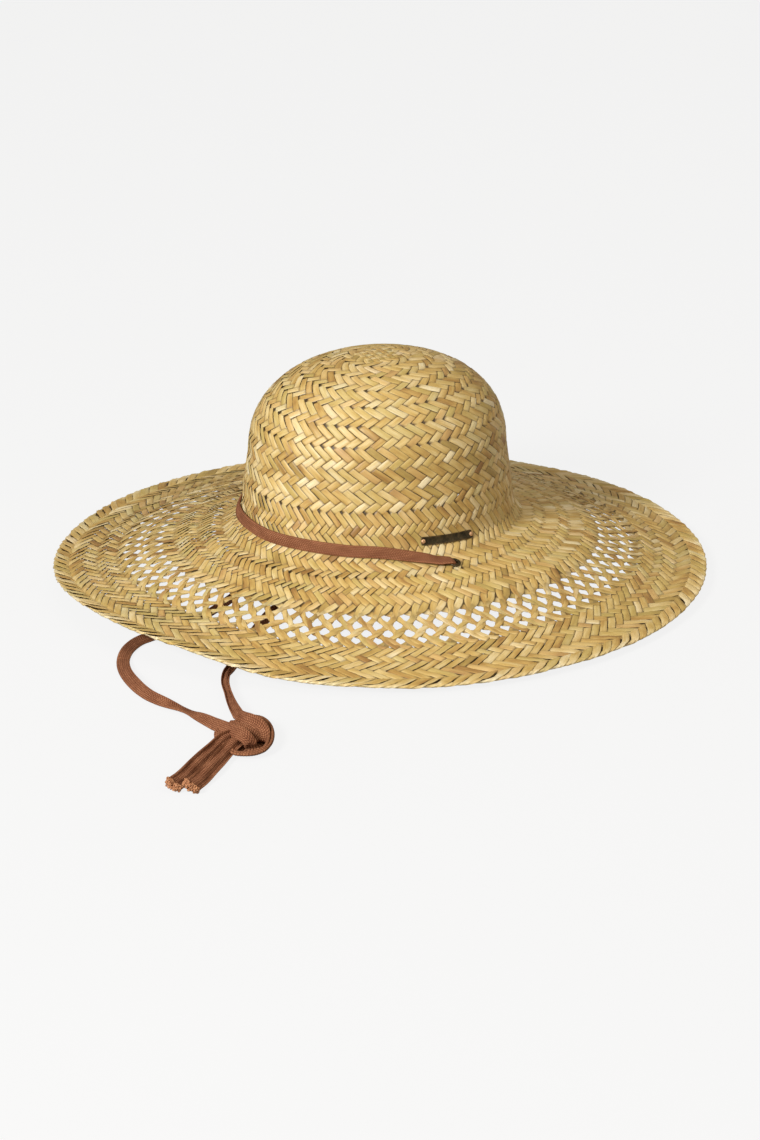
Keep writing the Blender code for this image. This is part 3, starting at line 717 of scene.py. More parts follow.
def start_plait():
    """The square of plain weaving that the crown starts from."""
    straws, pitch, reach = 6, 0.0042, 0.0150
    station = np.linspace(-reach, reach, 37)[:, None]
    parts = []
    for family in (0, 1):
        for i in range(straws):
            place = i - (straws - 1) / 2
            over = np.cos((station / pitch + (straws - 1) / 2 + i + family) * math.pi)
            across, along = np.broadcast_arrays(pitch * (place + 0.47 * ACROSS), station)
            x, y = (across, along) if family else (along, across)
            dip = -0.00105 * ease((np.abs(station) / reach - 0.78) / 0.22)
            height = LAYER_MIDDLE + 0.00045 + 0.00026 * over + STRAW_THICK * RISE + dip
            points = on_straw(np.arctan2(y, x), np.hypot(x, y), height)
            grain = layered(x.shape, ACROSS, along, rng.uniform())
            # painted shade where a straw passes under the other set
            tone = layered(x.shape, rng.normal(0.55, 0.15), np.clip(0.5 - 0.6 * over, 0, 0.6), 0.0)
            parts.append((points, grain, tone))
    return [np.stack(values) for values in zip(*parts)]


def straw_ring(name, node, count, rows, relief, mat):
    """Seven rows with the same straws all through."""
    spans = ((1, (-1.5, 13.4)), (-1, (1.0, 15.9)))
    groups = [weave(count, row_levels(rows), rows_pattern(7), family, span, relief) for family, span in spans]
    join_straws(name, node, groups, mat)


def outer_brim(mat):
    """Straws that run on from the inner brim, through the open-work, to the edge."""
    pattern = Pattern(OUTER_SWITCHES, marks=(0.12, 0.27))
    for part, family, span in (("openwork", 1, (-1.5, 30.6)), ("outer", -1, (1.0, 31.0))):
        straws = weave(OUTER_COUNT, OUTER_ROWS, pattern, family, span, 2.0, openwork_gather, 0.6, 0.5, 29.2)
        join_straws("straw_brim_" + part, "brim_" + part, [straws], mat)


EDGE_HALF_WIDE = 0.0064
EDGE_HALF_TALL = 0.0015
EDGE_SLOPE = 0.10
EDGE_LEAD = 0.006  # the straws of the edge start this far further in, under the weave
LEAD_STEPS = 40


def edge_section():
    """Section of the folded edge, from its inner end over the top and under, as for off_line()."""
    angle = np.radians(np.linspace(180, -180, 721))
    power = 2 / 2.6
    radius = EDGE_R - EDGE_HALF_WIDE * (1 - boxy(np.cos(angle), power))
    z = 0.0004 + EDGE_HALF_TALL * (1 + boxy(np.sin(angle), power))
    z = z + EDGE_SLOPE * np.maximum(0.0, EDGE_R - 0.003 - radius)
    inward = np.linspace(EDGE_LEAD, 0.0, LEAD_STEPS, endpoint=False)
    lead = np.stack([radius[0] - inward, z[0] + inward * math.tan(math.radians(BRIM_SLOPES[-1]))], 1)
    points = np.concatenate([lead, np.stack([radius, z], 1)])
    lengths = run_along(points)
    lengths -= lengths[LEAD_STEPS]
    return points, lengths, normals_of(points, lengths)


EDGE_SECTION = edge_section()
RIM_AT = EDGE_SECTION[1][LEAD_STEPS + 360]  # halfway round the section


def edge_core():
    """Straws laid round inside the fold, as (points, grain, tone)."""
    rings, stations = 5, 421
    radius = (EDGE_R - np.linspace(0.0108, 0.0022, rings))[:, None, None]
    turn = np.linspace(0, ROUND, stations)[None, :, None]
    height = np.linspace(0.0021, 0.0015, rings)[:, None, None] + 0.0012 * RISE
    wave = 0.0003 * np.sin(turn * 9 + np.arange(rings)[:, None, None])
    points = warp(*np.broadcast_arrays(turn, radius + wave + 0.0012 * ACROSS, height))
    shape = points.shape[:3]
    # a dark tone with painted shade, for straws that lie inside the fold
    return points, layered(shape, ACROSS, turn * EDGE_R, 0.4), layered(shape, 0.2, 0.9, 0.75)


def folded_edge(mat):
    """The second set of straws folded over the edge, each lying over the one before it."""
    count, stations = OUTER_COUNT, 44
    per_straw, per_station = (count, 1, 1), (count, stations, 1)
    u = np.linspace(0, 1, stations)
    steps = (0.0, 0.34, 0.46, 0.66, 0.8, 1.0)
    past_rim = (-0.0040 - RIM_AT, -0.0032, -0.0012, 0.0012, 0.0030, 0.0105)
    reach = smoothed(RIM_AT + np.interp(u, steps, past_rim), 2)
    arc = smoothed(-np.interp(u, steps, (-0.0055, 0.0115, 0.0165, 0.0270, 0.0330, 0.0420)), 2)
    step_reach, step_arc = np.gradient(reach), np.gradient(arc)
    step = np.hypot(step_reach, step_arc)
    u, reach, arc, ahead, aside = (
        row[None, :, None] for row in (u, reach, arc, step_reach / step, step_arc / step)
    )
    at_rim = ease((u - 0.26) / 0.16)
    half = 0.0031 - 0.0008 * at_rim + 0.0009 * ease((u - 0.74) / 0.12)
    half = half * (1 + rng.normal(0, 0.08, per_straw))
    offset = 0.0003 * np.sin(5 * u + rng.uniform(0, 6.3, per_straw)) + ACROSS * half
    pitch = ROUND * EDGE_R / count
    own = np.arange(count)[:, None, None] * pitch + rng.normal(0, 0.0005, per_straw)
    stray = rng.normal(0, 0.0006, per_straw) * at_rim
    shingle = (0.00022 + 0.00050 * at_rim) * ACROSS * rng.uniform(0.5, 1.3, per_straw)
    sink = 0.0003 + 0.0011 * (1 - ease((u + 0.01) / 0.12)) + 0.0004 * ease((u - 0.85) / 0.15)
    rise = shingle - sink + STRAW_THICK * RISE
    rise = rise + rng.normal(0, 0.00006, per_station) + rng.normal(0, 0.00005, per_station) * ACROSS
    radius, z = off_line(*EDGE_SECTION, reach + stray - offset * aside, rise)
    points = warp((own + arc + offset * ahead) / EDGE_R, radius, np.maximum(z, 0.0001))
    shape = points.shape[:3]
    run = run_along(points[:, :, TOP_CORNER], 1)
    grain = layered(shape, ACROSS, run[:, :, None], rng.uniform(0, 1, per_straw))
    # paler over the rim, and darker past it on the brim's underside, a painted shade
    shade = rng.normal(0.52, 0.18, per_straw) + 0.24 * at_rim - 0.38 * ease((u - 0.62) / 0.12)
    # painted shade where the straws come out from under the weave and along their edges
    tuck_shade = np.clip(0.9 * (1 - ease((u - 0.03) / 0.08)) + EDGE_SHADE, 0, 1)
    # painted shade along each straw's lower edge, where it lies under its neighbour
    tone = layered(shape, shade, tuck_shade, 0.8 * ((ACROSS < -0.9) & (RISE < 0)))
    join_straws("straw_brim_edge", "brim_edge", [(points, grain, tone), edge_core()], mat)


# --- cord ---


def smoothed(values, reach=20):
    kernel = np.ones(2 * reach + 1) / (2 * reach + 1)
    return np.convolve(np.pad(values, reach, mode="edge"), kernel, mode="valid")


def stepped(run, stops):
    """Values at each place of a run, from (share of the run, value) stops."""
    return np.interp(run / run[-1], *zip(*stops))


def tape(name, path, side, half_width, half_thick, mat, folds=0.0, fold_count=3, around=28):
    """Sweeps a flat knitted tape. side, half sizes and folds are given for each place of the path."""
    along = unit(np.gradient(path, axis=0))
    side = unit(side - np.sum(side * along, axis=1)[:, None] * along)
    up = np.cross(along, side)[:, None, :]
    given = (run_along(path), half_width, half_thick, folds)
    run, half_width, half_thick, folds = (np.broadcast_to(values, len(path))[:, None] for values in given)
    t = np.linspace(0, ROUND, around, endpoint=False)
    w = boxy(np.cos(t), 0.55)
    h = boxy(np.sin(t), 0.75)
    ripple = folds * np.cos(w * math.pi * fold_count + 0.6 * np.sin(run * 160))
    seam = -0.00012 * bell((np.abs(w) - 0.66) / 0.10) * (1 - np.clip(folds / 0.0004, 0, 1))
    stitch = 0.00009 * np.sin(math.pi * (run / 0.0009 + 3.4 * np.abs(w))) * np.cos(math.pi * 3.5 * w) ** 2
    height = h * half_thick + ripple + (seam + stitch) * np.sign(np.sin(t))
    points = path[:, None, :] + side[:, None, :] * (w * half_width)[..., None] + up * height[..., None]
    grain = layered(points.shape[:2], w, run, len(name) * 0.37)
    return add_mesh(name, points, tube_quads(1, len(path), around), mat, grain)


def cord_round_crown(mat):
    """The stretch outside the crown, bunched up where it goes in through each eyelet."""
    flat = CORD_THICK / 2 + BAND_CLEAR
    # (angle from the eyelet, length along the outline, height, share of the full width)
    stops = [
        (0.15, L_EYELET, -LIP_DEPTH + 0.0004, 0.0),
        (0.25, L_EYELET, -0.0008, 0.10),
        (0.95, L_EYELET - 0.0005, SEAT + 0.0020, 0.80),
        (3.0, L_EYELET - 0.0020, SEAT + 0.0026, 1.00),
        (5.4, L_EYELET - 0.0042, SEAT + 0.0022, 1.06),
        (8.6, L_EYELET - 0.0078, flat + 0.0008, 1.08),
        (12.0, L_EYELET - 0.0110, flat + 0.0002, 1.06),
        (18.0, L_BAND + 0.0060, flat, 1.0),
        (25.0, L_BAND + 0.0030, flat - 0.0002, 1.0),
    ]
    stops += [(a, L_BAND + BAND_RISE * (45 - a) / 14, flat - 0.0003, 1.0) for a in (31, 38)]
    stops += [(a, L_BAND - BAND_RISE * (a - 45) / 45, flat - 0.0003, 1.0) for a in range(45, 90, 6)]
    stops += [(180 - a, *rest) for a, *rest in reversed(stops)]
    control = []
    for angle, length, height, share in stops:
        turn = math.radians(-angle)
        down = on_straw(turn, length + 0.001, height) - on_straw(turn, length - 0.001, height)
        control.append([*on_straw(turn, length, height), *unit(down), share])
    dense, run = smooth_path(control)
    down = dense[:, 3:6]
    share = np.clip(dense[:, 6], 0, 1.1)
    path = dense[:, :3] + down * (0.00025 * np.sin(run * 95) * share)[:, None]
    half_width = 0.0018 + 0.0025 * share
    half_thick = 0.0016 - 0.00055 * share
    folds = 0.00045 * np.maximum(0.0, 1 - share) + 0.00006
    band = tape("cord_round_crown", path, down, half_width, half_thick, mat, folds)
    stand_for(band, "cord_band", "hat")


def leaning_sides(path, share):
    """Side directions for a tape, from lying flat (share 0) to standing with its face to the front."""
    along = unit(np.gradient(path, axis=0))
    share = np.broadcast_to(share, len(path))[:, None]
    return unit(unit(np.cross(UP, along)) * (1 - share) + unit(np.cross(along, VIEW_RAY)) * share)


def above_floor(path, side, half_width, half_thick):
    """Raises the places of a path where the tape would reach into the floor."""
    steep = np.abs(side[:, 2])
    need = steep * half_width + np.sqrt(1 - steep**2) * half_thick + 0.0002
    path[:, 2] = np.maximum(path[:, 2], need)


def chin_strand(part, points, widths, leans, folds, mat):
    """A side of the chin cord: points in millimetres, then stops for stepped()."""
    start = on_straw(0.0 if part == "left" else math.pi, L_EYELET, -LIP_DEPTH - 0.0020)
    path, run = smooth_path([start, *np.array(points) / 1000])
    half_width = stepped(run, widths)
    fold = stepped(run, folds)
    half_thick = smoothed(np.where(fold > 0.0002, 0.0013, 0.0009))
    side = leaning_sides(path, smoothed(stepped(run, leans)))
    above_floor(path, side, half_width, half_thick + fold)
    strand = tape("chin_cord_" + part, path, side, half_width, half_thick, mat, fold, 2.1)
    stand_for(strand, "chin_strand_" + part)
    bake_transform(strand)


# Wraps of the knot: name, lean, half thickness, fold, stops of half width, points in millimetres
KNOT_WRAPS = (
    (
        "knot_band", 0.75, 0.0012, 0.00005, [(0, 0.0044), (0.3, 0.0046), (0.7, 0.0047), (1, 0.0042)],
        [
            (197.5, -238.5, 5.2), (209.7, -237.8, 7.2), (221.8, -237.1, 9.3), (230.1, -236.8, 10.9),
            (236.2, -236.1, 10.9), (239, -234.4, 8), (237.4, -232.9, 4.5),
        ],
    ),
    (
        "knot_back_wrap", 0.8, 0.0013, 0.0001, [(0, 0.0040), (0.3, 0.0052), (0.7, 0.0054), (1, 0.0048)],
        [
            (197, -220, 7), (208, -221.3, 8.8), (216.7, -220.2, 9.8), (223.7, -219, 9), (230.2, -219.7, 6.6),
            (234.9, -223, 4),
        ],
    ),
    (
        "knot_middle", 0.5, 0.0012, 0.00005, [(0, 0.0040), (1, 0.0050)],
        [
            (203.5, -231, 4.8), (208.5, -230.2, 6.2), (217, -229, 7), (227, -227, 6.4), (234, -227, 4),
        ],
    ),
    (
        "knot_under_wrap", 0.5, 0.0012, 0.00005, [(0, 0.0034), (0.4, 0.0040), (1, 0.0048)],
        [
            (204, -234.5, 5), (207, -238, 4.4), (210.8, -241.5, 3.8), (217.7, -243.2, 3.4), (225, -240, 3),
            (232, -236, 2.8),
        ],
    ),
    (
        "knot_hollow", 0.0, 0.0007, 0.00005, [(0, 0.0064), (0.5, 0.0085), (1, 0.0070)],
        [
            (226.2, -244, 1.2), (231.1, -238.6, 1.1), (232.9, -233.2, 1.1), (231.3, -225.3, 1.1),
            (223.9, -217, 1.1), (214, -212, 1.2),
        ],
    ),
)
KNOT_RING = np.array(
    [
        (202, -226.7, 5), (199, -219.4, 5.8), (200.3, -212.9, 6), (204.9, -207.5, 5.6), (214.1, -206.8, 5.2),
        (226.1, -210.4, 4.6), (238.1, -217.6, 4.2), (246.5, -226.6, 3.8), (248.4, -234.4, 3.4),
        (246.2, -241.6, 3.4), (240.5, -247, 3.4), (229.3, -246.7, 4),
    ]
) / 1000


def knot(mat):
    """An overhand knot tied in both strands together."""
    pieces = []
    for name, lean, half_thick, fold, widths, points in KNOT_WRAPS:
        path, run = smooth_path(np.array(points) / 1000)
        half_width = stepped(run, widths)
        side = leaning_sides(path, lean)
        above_floor(path, side, half_width, half_thick)
        pieces.append(tape(name, path, side, half_width, half_thick, mat, fold))
    out = unit((KNOT_RING - KNOT_RING.mean(axis=0)) * [1, 1, 0])
    for label, inward in (("outer", 0.0), ("inner", 0.0025)):
        path, _ = smooth_path(KNOT_RING - out * inward)
        side = np.tile(VIEW_RAY - 0.1 * UP, (len(path), 1))
        pieces.append(tape("knot_loop_" + label, path, side, 0.0036, 0.00115, mat, 0.00004))
    stand_for(join_pieces("chin_knot_wraps", pieces), "chin_knot", "chin_loop")


def frayed_end(centre, along, side, mat):
    """Curled loose threads at a cut end, as small tubes."""
    count, stations, corners = 120, 18, 6
    per_thread = (count, 1, 1)
    t = np.linspace(0, 1, stations)[None, :, None]
    across = rng.uniform(-1, 1, per_thread) * 0.0055
    layer = rng.uniform(-1, 1, per_thread) * 0.0017
    reach = rng.uniform(0.0016, 0.0042, per_thread) * np.sqrt(1.05 - (across / 0.0058) ** 2)
    up = np.cross(along, side)
    up = up if up[2] > 0 else -up
    # each thread springs out, turns over in a small loop and ends tucked back
    loop = ROUND * t * rng.uniform(0.7, 1.3, per_thread) + rng.uniform(0, 6.3, per_thread)
    curl = rng.uniform(0.0003, 0.0008, per_thread)
    bow = np.sin(math.pi * (0.12 + 0.80 * t))
    path = centre + side * (across + curl * np.cos(loop)) + along * (reach * bow - 0.0012)
    path = path + up * (layer * (1 + 0.4 * bow) + curl * np.sin(loop))
    path[..., 2] = np.maximum(path[..., 2], 0.00035)
    run = unit(np.gradient(path, axis=1))
    one = unit(np.cross(run, np.array([0.3, 0.5, 0.8])))
    two = np.cross(run, one)
    turn = np.linspace(0, ROUND, corners, endpoint=False)[:, None]
    ring = one[:, :, None, :] * np.cos(turn) + two[:, :, None, :] * np.sin(turn)
    points = path[:, :, None, :] + ring * (0.00046 * (1 - 0.3 * t))[..., None]
    return add_mesh("frayed", points, tube_quads(count, stations, corners), mat)


def tail(letter, points, mat, fray):
    """A free end of the cord: crumpled lengthwise folds, slightly wider at its cut end."""
    body = "tail_" + letter
    path, run = smooth_path(np.array(points) / 1000)
    half_width = stepped(run, [(0, 0.0036), (0.15, 0.0045), (0.5, 0.0055), (0.9, 0.0056), (1, 0.0059)])
    folds = stepped(run, [(0, 0.0007), (0.2, 0.0012), (0.6, 0.0011), (0.92, 0.0007), (1, 0.0003)])
    half_thick = stepped(run, [(0, 0.0014), (0.2, 0.0011), (0.9, 0.0011), (1, 0.0019)])
    side = leaning_sides(path, 0.6)
    above_floor(path, side, half_width, half_thick + folds)
    fold_count = 2.1 if letter == "a" else 1.6
    cloth = tape(body + "_tape", path, side, half_width, half_thick, mat, folds, fold_count, 44)
    loose = frayed_end(path[-1], unit(path[-1] - path[-8]), side[-1], fray)
    piece = join_pieces("cord_end_" + letter, [cloth, loose])
    stand_for(piece, "cord_tail_" + letter)
    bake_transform(piece)


def cords():
    mat, fray = cord_material(), fray_material()
    cord_round_crown(mat)
    low = FLOOR * 1000
    chin_strand(
        "left",
        [
            (82, -20, 15), (52, -52, 3), (30, -79, low), (33, -101, low), (58, -130, low), (98, -167, low),
            (116.7, -183.3, low), (126.2, -192.3, 1.4), (138.1, -199.2, 1.8), (151.7, -204.6, 2.6),
            (165.8, -209.7, 3.6), (180.7, -214.8, 5), (197, -220, 7),
        ],
        [
            (0, 0.0019), (0.05, 0.0034), (0.15, 0.0046), (0.7, 0.0046),
            (0.78, 0.0030), (0.87, 0.0027), (0.94, 0.0034), (1, 0.0041),
        ],
        [(0, 0.0), (0.7, 0.0), (0.8, 0.5), (1, 0.8)],
        [(0, 0.0004), (0.05, 0.0001), (0.68, 0.0001), (0.77, 0.0013), (0.93, 0.0013), (1, 0.0004)],
        mat,
    )
    chin_strand(
        "right",
        [
            (-78, -26, 18), (-48, -60, 4), (-12, -103, low), (19, -150, low), (34, -185, low),
            (39.4, -206, low), (42.9, -218.3, low), (51, -229.7, low), (61.3, -238.4, low),
            (73.4, -244.7, 1.4), (86.8, -249.4, 1.8), (100.2, -252.3, 2.6), (115, -253.9, 3.4),
            (129.8, -254, 3.8), (140.1, -252, 3.8), (148.7, -249.2, 3.6), (156, -245.7, 2.8),
            (163.2, -242.3, 2), (174.5, -240.9, 3.2), (185.9, -239.6, 4.2), (197.5, -238.5, 5.2),
        ],
        [
            (0, 0.0019), (0.05, 0.0034), (0.13, 0.0047), (0.8, 0.0046),
            (0.88, 0.0040), (0.925, 0.0033), (0.96, 0.0038), (1, 0.0044),
        ],
        [
            (0, 0.0), (0.45, 0.0), (0.55, 0.6), (0.6, 0.3), (0.7, 0.45),
            (0.8, 0.65), (0.885, 0.5), (0.925, -0.3), (0.96, 0.5), (1, 0.75),
        ],
        [(0, 0.0004), (0.05, 0.00005), (0.9, 0.00005), (1, 0.0001)],
        mat,
    )
    knot(mat)
    tail(
        "a",
        [
            (219.5, -232, 5.4), (224.5, -244.6, 6.8), (231.4, -255.9, 5.6), (242.1, -271, 4.6),
            (256.4, -289.4, 4.2), (263.3, -299, 3.8), (266.2, -303.4, 3.4),
        ],
        mat,
        fray,
    )
    tail(
        "b",
        [
            (228, -230, 5), (232.5, -240.5, 6.4), (239.4, -251.4, 5.4), (251.9, -266.8, 4.6),
            (264.4, -281.9, 4.2), (270.6, -290.6, 3.8), (273.4, -294.5, 3.4),
        ],
        mat,
        fray,
    )


# --- metal ---


def lathe(name, node, profile, place, mat, steps=72):
    """A ring turned from a closed (radius, height) profile and set on the straw at (turn, length)."""
    radius, height = np.array(profile).T
    turn = np.linspace(0, ROUND, steps, endpoint=False)[:, None]
    points = layered((steps, len(radius)), radius * np.cos(turn), radius * np.sin(turn), height)
    centre = on_straw(*place)
    axis = Vector(on_straw(*place, 0.001) - centre)
    matrix = np.array(Vector((0, 0, 1)).rotation_difference(axis).to_matrix())
    quads = tube_quads(1, steps, len(profile), closed=True)
    piece = add_mesh(name, points @ matrix.T + centre, quads, mat, sharp=50)
    stand_for(piece, node, "hat")


def arc_points(radius, height, size, start, end, steps):
    """(radius, height) points along an arc round a centre, angles in degrees."""
    turns = np.radians(np.linspace(start, end, steps))
    return [(radius + size * math.cos(a), height + size * math.sin(a)) for a in turns]


def washer(inner, outer, thick, chamfer):
    low = WASHER_TOP - thick
    upper = [(inner, WASHER_TOP), (outer - chamfer, WASHER_TOP), (outer, WASHER_TOP - 0.0001)]
    return upper + [(outer, low + 0.0001), (outer - chamfer, low), (inner, low)]


def eyelets(mat):
    """Flanged tubes, rolled over a washer on the underside."""
    top = SEAT + 0.0011
    lip_top = WASHER_TOP - 0.0005 - 0.0003
    profile = [(0.00232, -LIP_DEPTH + 0.0004), (0.00232, top - 0.0009)]
    profile += arc_points(0.00292, top - 0.0006, 0.0006, 180, 90, 6)
    profile += arc_points(0.0039, top - 0.0007, 0.0007, 90, 0, 7)
    profile += [(0.0046, SEAT), (0.0030, SEAT), (0.0030, lip_top), (0.0037, lip_top)]
    profile += arc_points(0.00305, -LIP_DEPTH + 0.00045, 0.00065, 20, -90, 6)
    profile += [(0.0026, -LIP_DEPTH - 0.0001)]
    for side, turn in (("left", 0.0), ("right", math.pi)):
        place = (turn, L_EYELET)
        lathe("eyelet_ring_" + side, "eyelet_" + side, profile, place, mat)
        back = washer(0.0033, 0.0046, 0.0005, 0.0002)
        lathe("eyelet_back_" + side, "eyelet_washer_" + side, back, place, mat)


PLATE_LENGTH = 0.0425
PLATE_TALL = 0.0064
PLATE_BACK = 0.0003  # its height above the straw
PLATE_FRONT = PLATE_BACK + 0.0008


def nameplate(mat):
    """A slim blank plate, hammered, with softened edges and a line stamped round it."""
    columns, rows = 130, 22
    uu, vv = np.meshgrid(np.linspace(-1, 1, columns), np.linspace(-1, 1, rows), indexing="ij")
    dents = np.zeros_like(uu)
    for _ in range(150):
        cu, cv = rng.uniform(-1, 1), rng.uniform(-1, 1)
        size = rng.uniform(0.0006, 0.0012)
        gap = np.hypot((uu - cu) * PLATE_LENGTH / 2, (vv - cv) * PLATE_TALL / 2) / size
        dents = np.minimum(dents, -0.00009 * np.maximum(0, 1 - gap**2))
    border = np.minimum((1 - np.abs(uu)) * PLATE_LENGTH / 2, (1 - np.abs(vv)) * PLATE_TALL / 2)
    soft = -0.00028 * (1 - ease(border / 0.00035)) ** 2
    line = -0.00012 * bell((border - 0.0007) / 0.00014)
    high = PLATE_FRONT + dents * ease((border - 0.0008) / 0.0004) + soft + line
    # corners of the plate are rounded by pulling the ends of its rows in
    corner = 0.0009
    past = np.maximum(0, np.abs(vv) * PLATE_TALL / 2 - PLATE_TALL / 2 + corner)
    pull = corner - np.sqrt(np.maximum(0, corner**2 - past**2))
    half_turn = PLATE_LENGTH / 2 / (np.interp(L_PLATE, OUT_L, OUTLINE[:, 0]) + BREAK_OVAL)
    turn = PLATE_TURN + half_turn * uu * (1 - pull / (PLATE_LENGTH / 2))
    place = L_PLATE + PLATE_SLANT * uu + vv * PLATE_TALL / 2
    points = np.stack([on_straw(turn, place, high), on_straw(turn, place, PLATE_BACK)])
    index = np.arange(columns * rows).reshape(columns, rows)
    face = np.stack([index[:-1, :-1], index[1:, :-1], index[1:, 1:], index[:-1, 1:]], -1).reshape(-1, 4)
    rim = np.concatenate([index[:, 0], index[-1, 1:], index[-2::-1, -1], index[0, -2:0:-1]])
    after = np.roll(rim, -1)
    edge = np.stack([rim, rim + index.size, after + index.size, after], 1)
    quads = np.concatenate([face, face[:, ::-1] + index.size, edge])
    stand_for(add_mesh("name_plate_blank", points, quads, mat, sharp=40), "nameplate", "hat")


def rivets(head_mat, back_mat):
    """A dome-headed rivet near each end of the plate, over a washer."""
    base = PLATE_FRONT + 0.0004
    low = WASHER_TOP - 0.0004 - 0.0005
    profile = [(0.00002, base + 0.0006)] + arc_points(0.0, base - 0.0022, 0.0028, 80, 58, 6)
    profile += [(0.0016, base), (0.0008, base - 0.0001)]
    profile += [(0.0008, low + 0.0001), (0.0007, low), (0.00002, low)]
    for name, sign in (("front", -1), ("rear", 1)):
        place = (PLATE_TURN + sign * RIVET_TURN, L_PLATE + PLATE_SLANT * sign)
        lathe("plate_rivet_" + name, "nameplate_rivet_" + name, profile, place, head_mat, 40)
        back = washer(0.0011, 0.0022, 0.0004, 0.0001)
        lathe("plate_back_" + name, "rivet_washer_" + name, back, place, back_mat, 40)


# --- lining ---

SEAM_Z = 0.0485
BAND_INSET = 0.0020
BAND_THICK = 0.0012
STITCHES = 148


def lining_place(turn, z, inward):
    """Points this far inside the straw wall, taken straight down past the soft corner."""
    taper = BREAK_R * WALL_TAPER / WALL_HEIGHT
    return warp(turn, BREAK_R - taper * (z - brim_line()[0, 1]) + STRAW_BACK - inward, z)


def sweatband(mat):
    """A cotton tape sewn in along its lower edge, its upper edge hemmed and standing a little free."""
    low, high = 0.0450, 0.0760
    steps, around = 720, 44
    turn = np.linspace(0, ROUND, steps, endpoint=False)[:, None]
    k = np.linspace(0, ROUND, around, endpoint=False)
    w = boxy(np.sin(k), 0.35)
    side = boxy(np.cos(k), 0.35)
    z = (low + high) / 2 + (high - low) / 2 * w
    height = (z - low) / (high - low)
    hem = 0.00022 * ease((height - 0.86) / 0.03) + 0.00022 * ease((0.15 - height) / 0.03)
    ripple = 0.0006 * height**2 * (np.sin(17 * turn + 0.5) + 0.6 * np.sin(29 * turn + 1.7)) / 1.6
    pucker = -0.00018 * bell((z - SEAM_Z) / 0.0007) * (1 + np.sin(turn * STITCHES))
    inward = BAND_INSET + BAND_THICK / 2 - 0.0002 + (BAND_THICK / 2 - 0.0001 + hem) * side + ripple
    inward = inward + np.where(side > 0, pucker, 0)
    points = lining_place(turn + 0 * k, z + 0.0003 * np.sin(5 * turn), inward)
    grain = layered((steps, around), w, turn * 0.09, 0.0)
    band = add_mesh("sweatband_tape", points, tube_quads(1, steps, around, closed=True), mat, grain)
    stand_for(band, "sweatband", "hat")


def stitching(mat):
    stations, corners = 9, 8
    t = np.linspace(-1, 1, stations)
    turns = np.arange(STITCHES)[:, None] * ROUND / STITCHES + t * 0.70 * math.pi / STITCHES
    depth = BAND_INSET + BAND_THICK + 0.00034 - 0.0007 * np.abs(t) ** 3
    middle = lining_place(turns, SEAM_Z + 0.00012 * t, depth + 0 * turns)
    out = unit(np.cross(unit(np.gradient(middle, axis=1)), UP))[:, :, None, :]
    ring = np.linspace(0, ROUND, corners, endpoint=False)
    across = np.cos(ring)[:, None] * UP + np.sin(ring)[:, None] * out
    points = middle[:, :, None, :] + across * (0.00034 * (1 - 0.25 * t**4))[:, None, None]
    grain = layered(points.shape[:3], ring / math.pi - 1, turns[..., None] * 0.09, 0.0)
    seam = add_mesh("sweatband_stitches", points, tube_quads(STITCHES, stations, corners), mat, grain)
    stand_for(seam, "sweatband_stitching", "hat")


# --- studio ---


def floor():
    """A back-lit table: bright to the camera, gentler as a light on the hat's underside, and dark
    under the crown, where nothing lights it."""
    reach, below = 60.0, -0.0002
    points = np.array([(x * reach, y * reach, below) for x, y in ((-1, -1), (1, -1), (1, 1), (-1, 1))])
    s = Shader("studio_floor")
    place = s.place()
    seen = s.node("LightPath").outputs["Is Camera Ray"]
    crown = s.node("VectorMath", {0: place, 1: (-0.021, 0.012, REST_Z)}, operation="DISTANCE")
    shade = s.spread(crown.outputs["Value"], SHADE_REACH - 0.012, SHADE_REACH, 0.03, 1.0)
    glow = s.times(s.spread(seen, 0.0, 1.0, FLOOR_UPLIGHT, FLOOR_GLOW), shade)
    color = s.ramp(s.noise(place, 3.0), (0.3, 0.055, 0.055, 0.055), (0.7, 0.058, 0.058, 0.058))
    white = (1.0, 1.0, 1.0)
    mat = s.finish(color, 0.9, Specular_IOR_Level=0.0, Emission_Color=white, Emission_Strength=glow)
    add_mesh("studio_floor", points, np.array([[0, 1, 2, 3]]), mat)


def area_light(name, place, target, size, power, color):
    light = bpy.data.lights.new(name, "AREA")
    light.shape = "DISK"
    light.size = size
    light.energy = power
    light.color = color
    obj = add_object(name, light)
    obj.location = in_frame(place)
    obj.rotation_euler = (target - place).to_track_quat("-Z", "Y").to_euler()


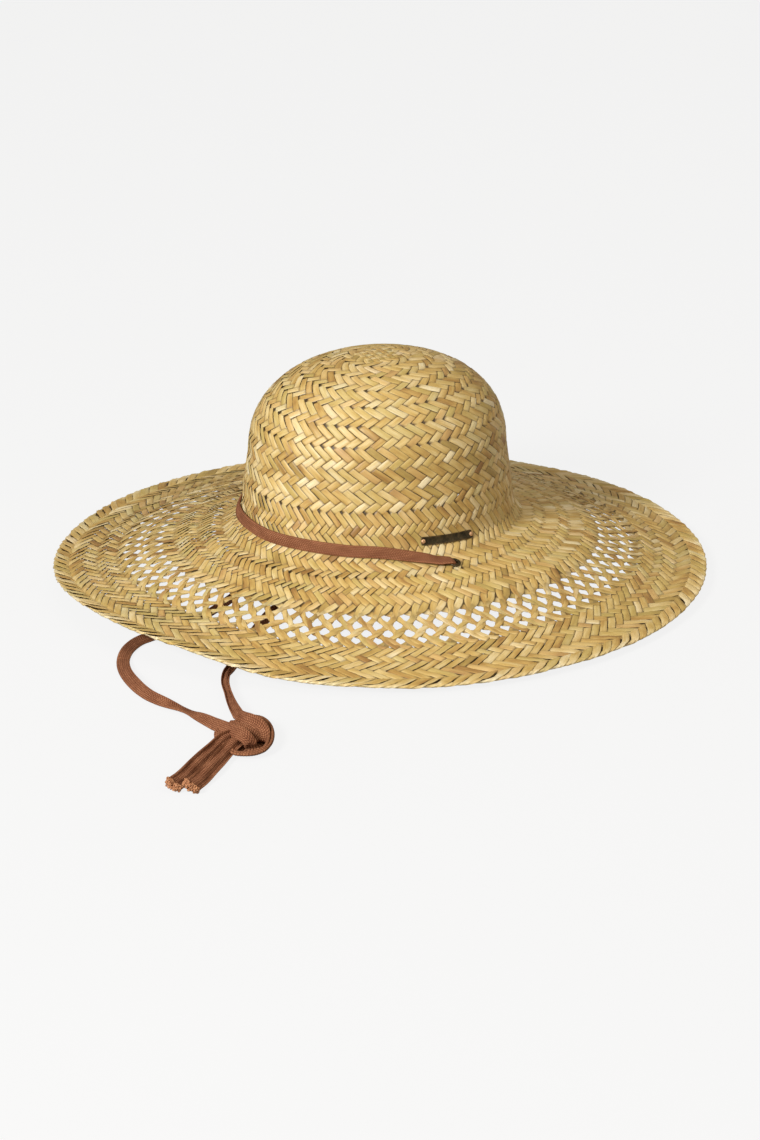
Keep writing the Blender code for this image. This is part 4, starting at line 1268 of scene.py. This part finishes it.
def air():
    """A faint warm light from all round, seen as white by the camera."""
    world = bpy.data.worlds.new("studio_air")
    world.use_nodes = True
    nodes, links = world.node_tree.nodes, world.node_tree.links
    choice = nodes.new("ShaderNodeMixShader")
    links.new(nodes.new("ShaderNodeLightPath").outputs["Is Camera Ray"], choice.inputs[0])
    lit, seen = nodes["Background"], nodes.new("ShaderNodeBackground")
    warm, white = (1.0, 0.91, 0.76, 1.0), (1.0, 1.0, 1.0, 1.0)
    for slot, node, color, strength in ((1, lit, warm, 0.30), (2, seen, white, 0.87)):
        node.inputs["Color"].default_value = color
        node.inputs["Strength"].default_value = strength
        links.new(node.outputs[0], choice.inputs[slot])
    links.new(choice.outputs[0], nodes["World Output"].inputs["Surface"])
    bpy.context.scene.world = world


def studio():
    floor()
    air()
    right = Vector((math.cos(VIEW_SIDE), math.sin(VIEW_SIDE), 0))
    back = Vector((math.sin(VIEW_SIDE), -math.cos(VIEW_SIDE), 0))
    target = Vector((0, 0, 0.06))
    key = target - right * 1.45 + back * 1.9 + Vector((0, 0, 1.35))
    fill = target + right * 1.9 + back * 1.2 + Vector((0, 0, 1.5))
    area_light("key", key, target, 0.8, 90, (1.0, 0.99, 0.965))
    area_light("fill", fill, target, 1.6, 14, (1.0, 0.88, 0.72))
    area_light("top", target + Vector((0.1, 0.3, 2.4)), target, 2.2, 9, (1.0, 0.95, 0.86))
    camera = bpy.data.cameras.new("camera")
    camera.lens = LENS_MM
    camera.sensor_width = 36
    camera.sensor_fit = "AUTO"
    camera.clip_end = 200
    eye = add_object("camera", camera)
    eye.location = in_frame(target - Vector(VIEW_RAY) * VIEW_DISTANCE)
    up = -back * math.sin(VIEW_HEIGHT) + Vector((0, 0, math.cos(VIEW_HEIGHT)))
    aim = in_frame(target - up * 0.0582 + right * 0.0017)
    eye.rotation_euler = (aim - eye.location).to_track_quat("-Z", "Y").to_euler()
    bpy.context.scene.camera = eye
    view = bpy.context.scene.view_settings
    view.view_transform = "Standard"
    view.exposure = 0.0


# --- build ---

straw = straw_material()
dome(straw)
straw_ring("straw_crown_side", "crown_side", WALL_COUNT, WALL_ROWS, 1.2, straw)
straw_ring("straw_brim_inner", "brim_inner", INNER_COUNT, INNER_ROWS, 1.7, straw)
outer_brim(straw)
folded_edge(straw)
cords()
bronze = bronze_material("aged_bronze_parts")
plate_bronze = bronze_material("aged_bronze_plate", 0.25, 0.6)
eyelets(bronze)
nameplate(plate_bronze)
rivets(copper_material(), plate_bronze)
sweatband(cotton_material())
stitching(thread_material())
studio()
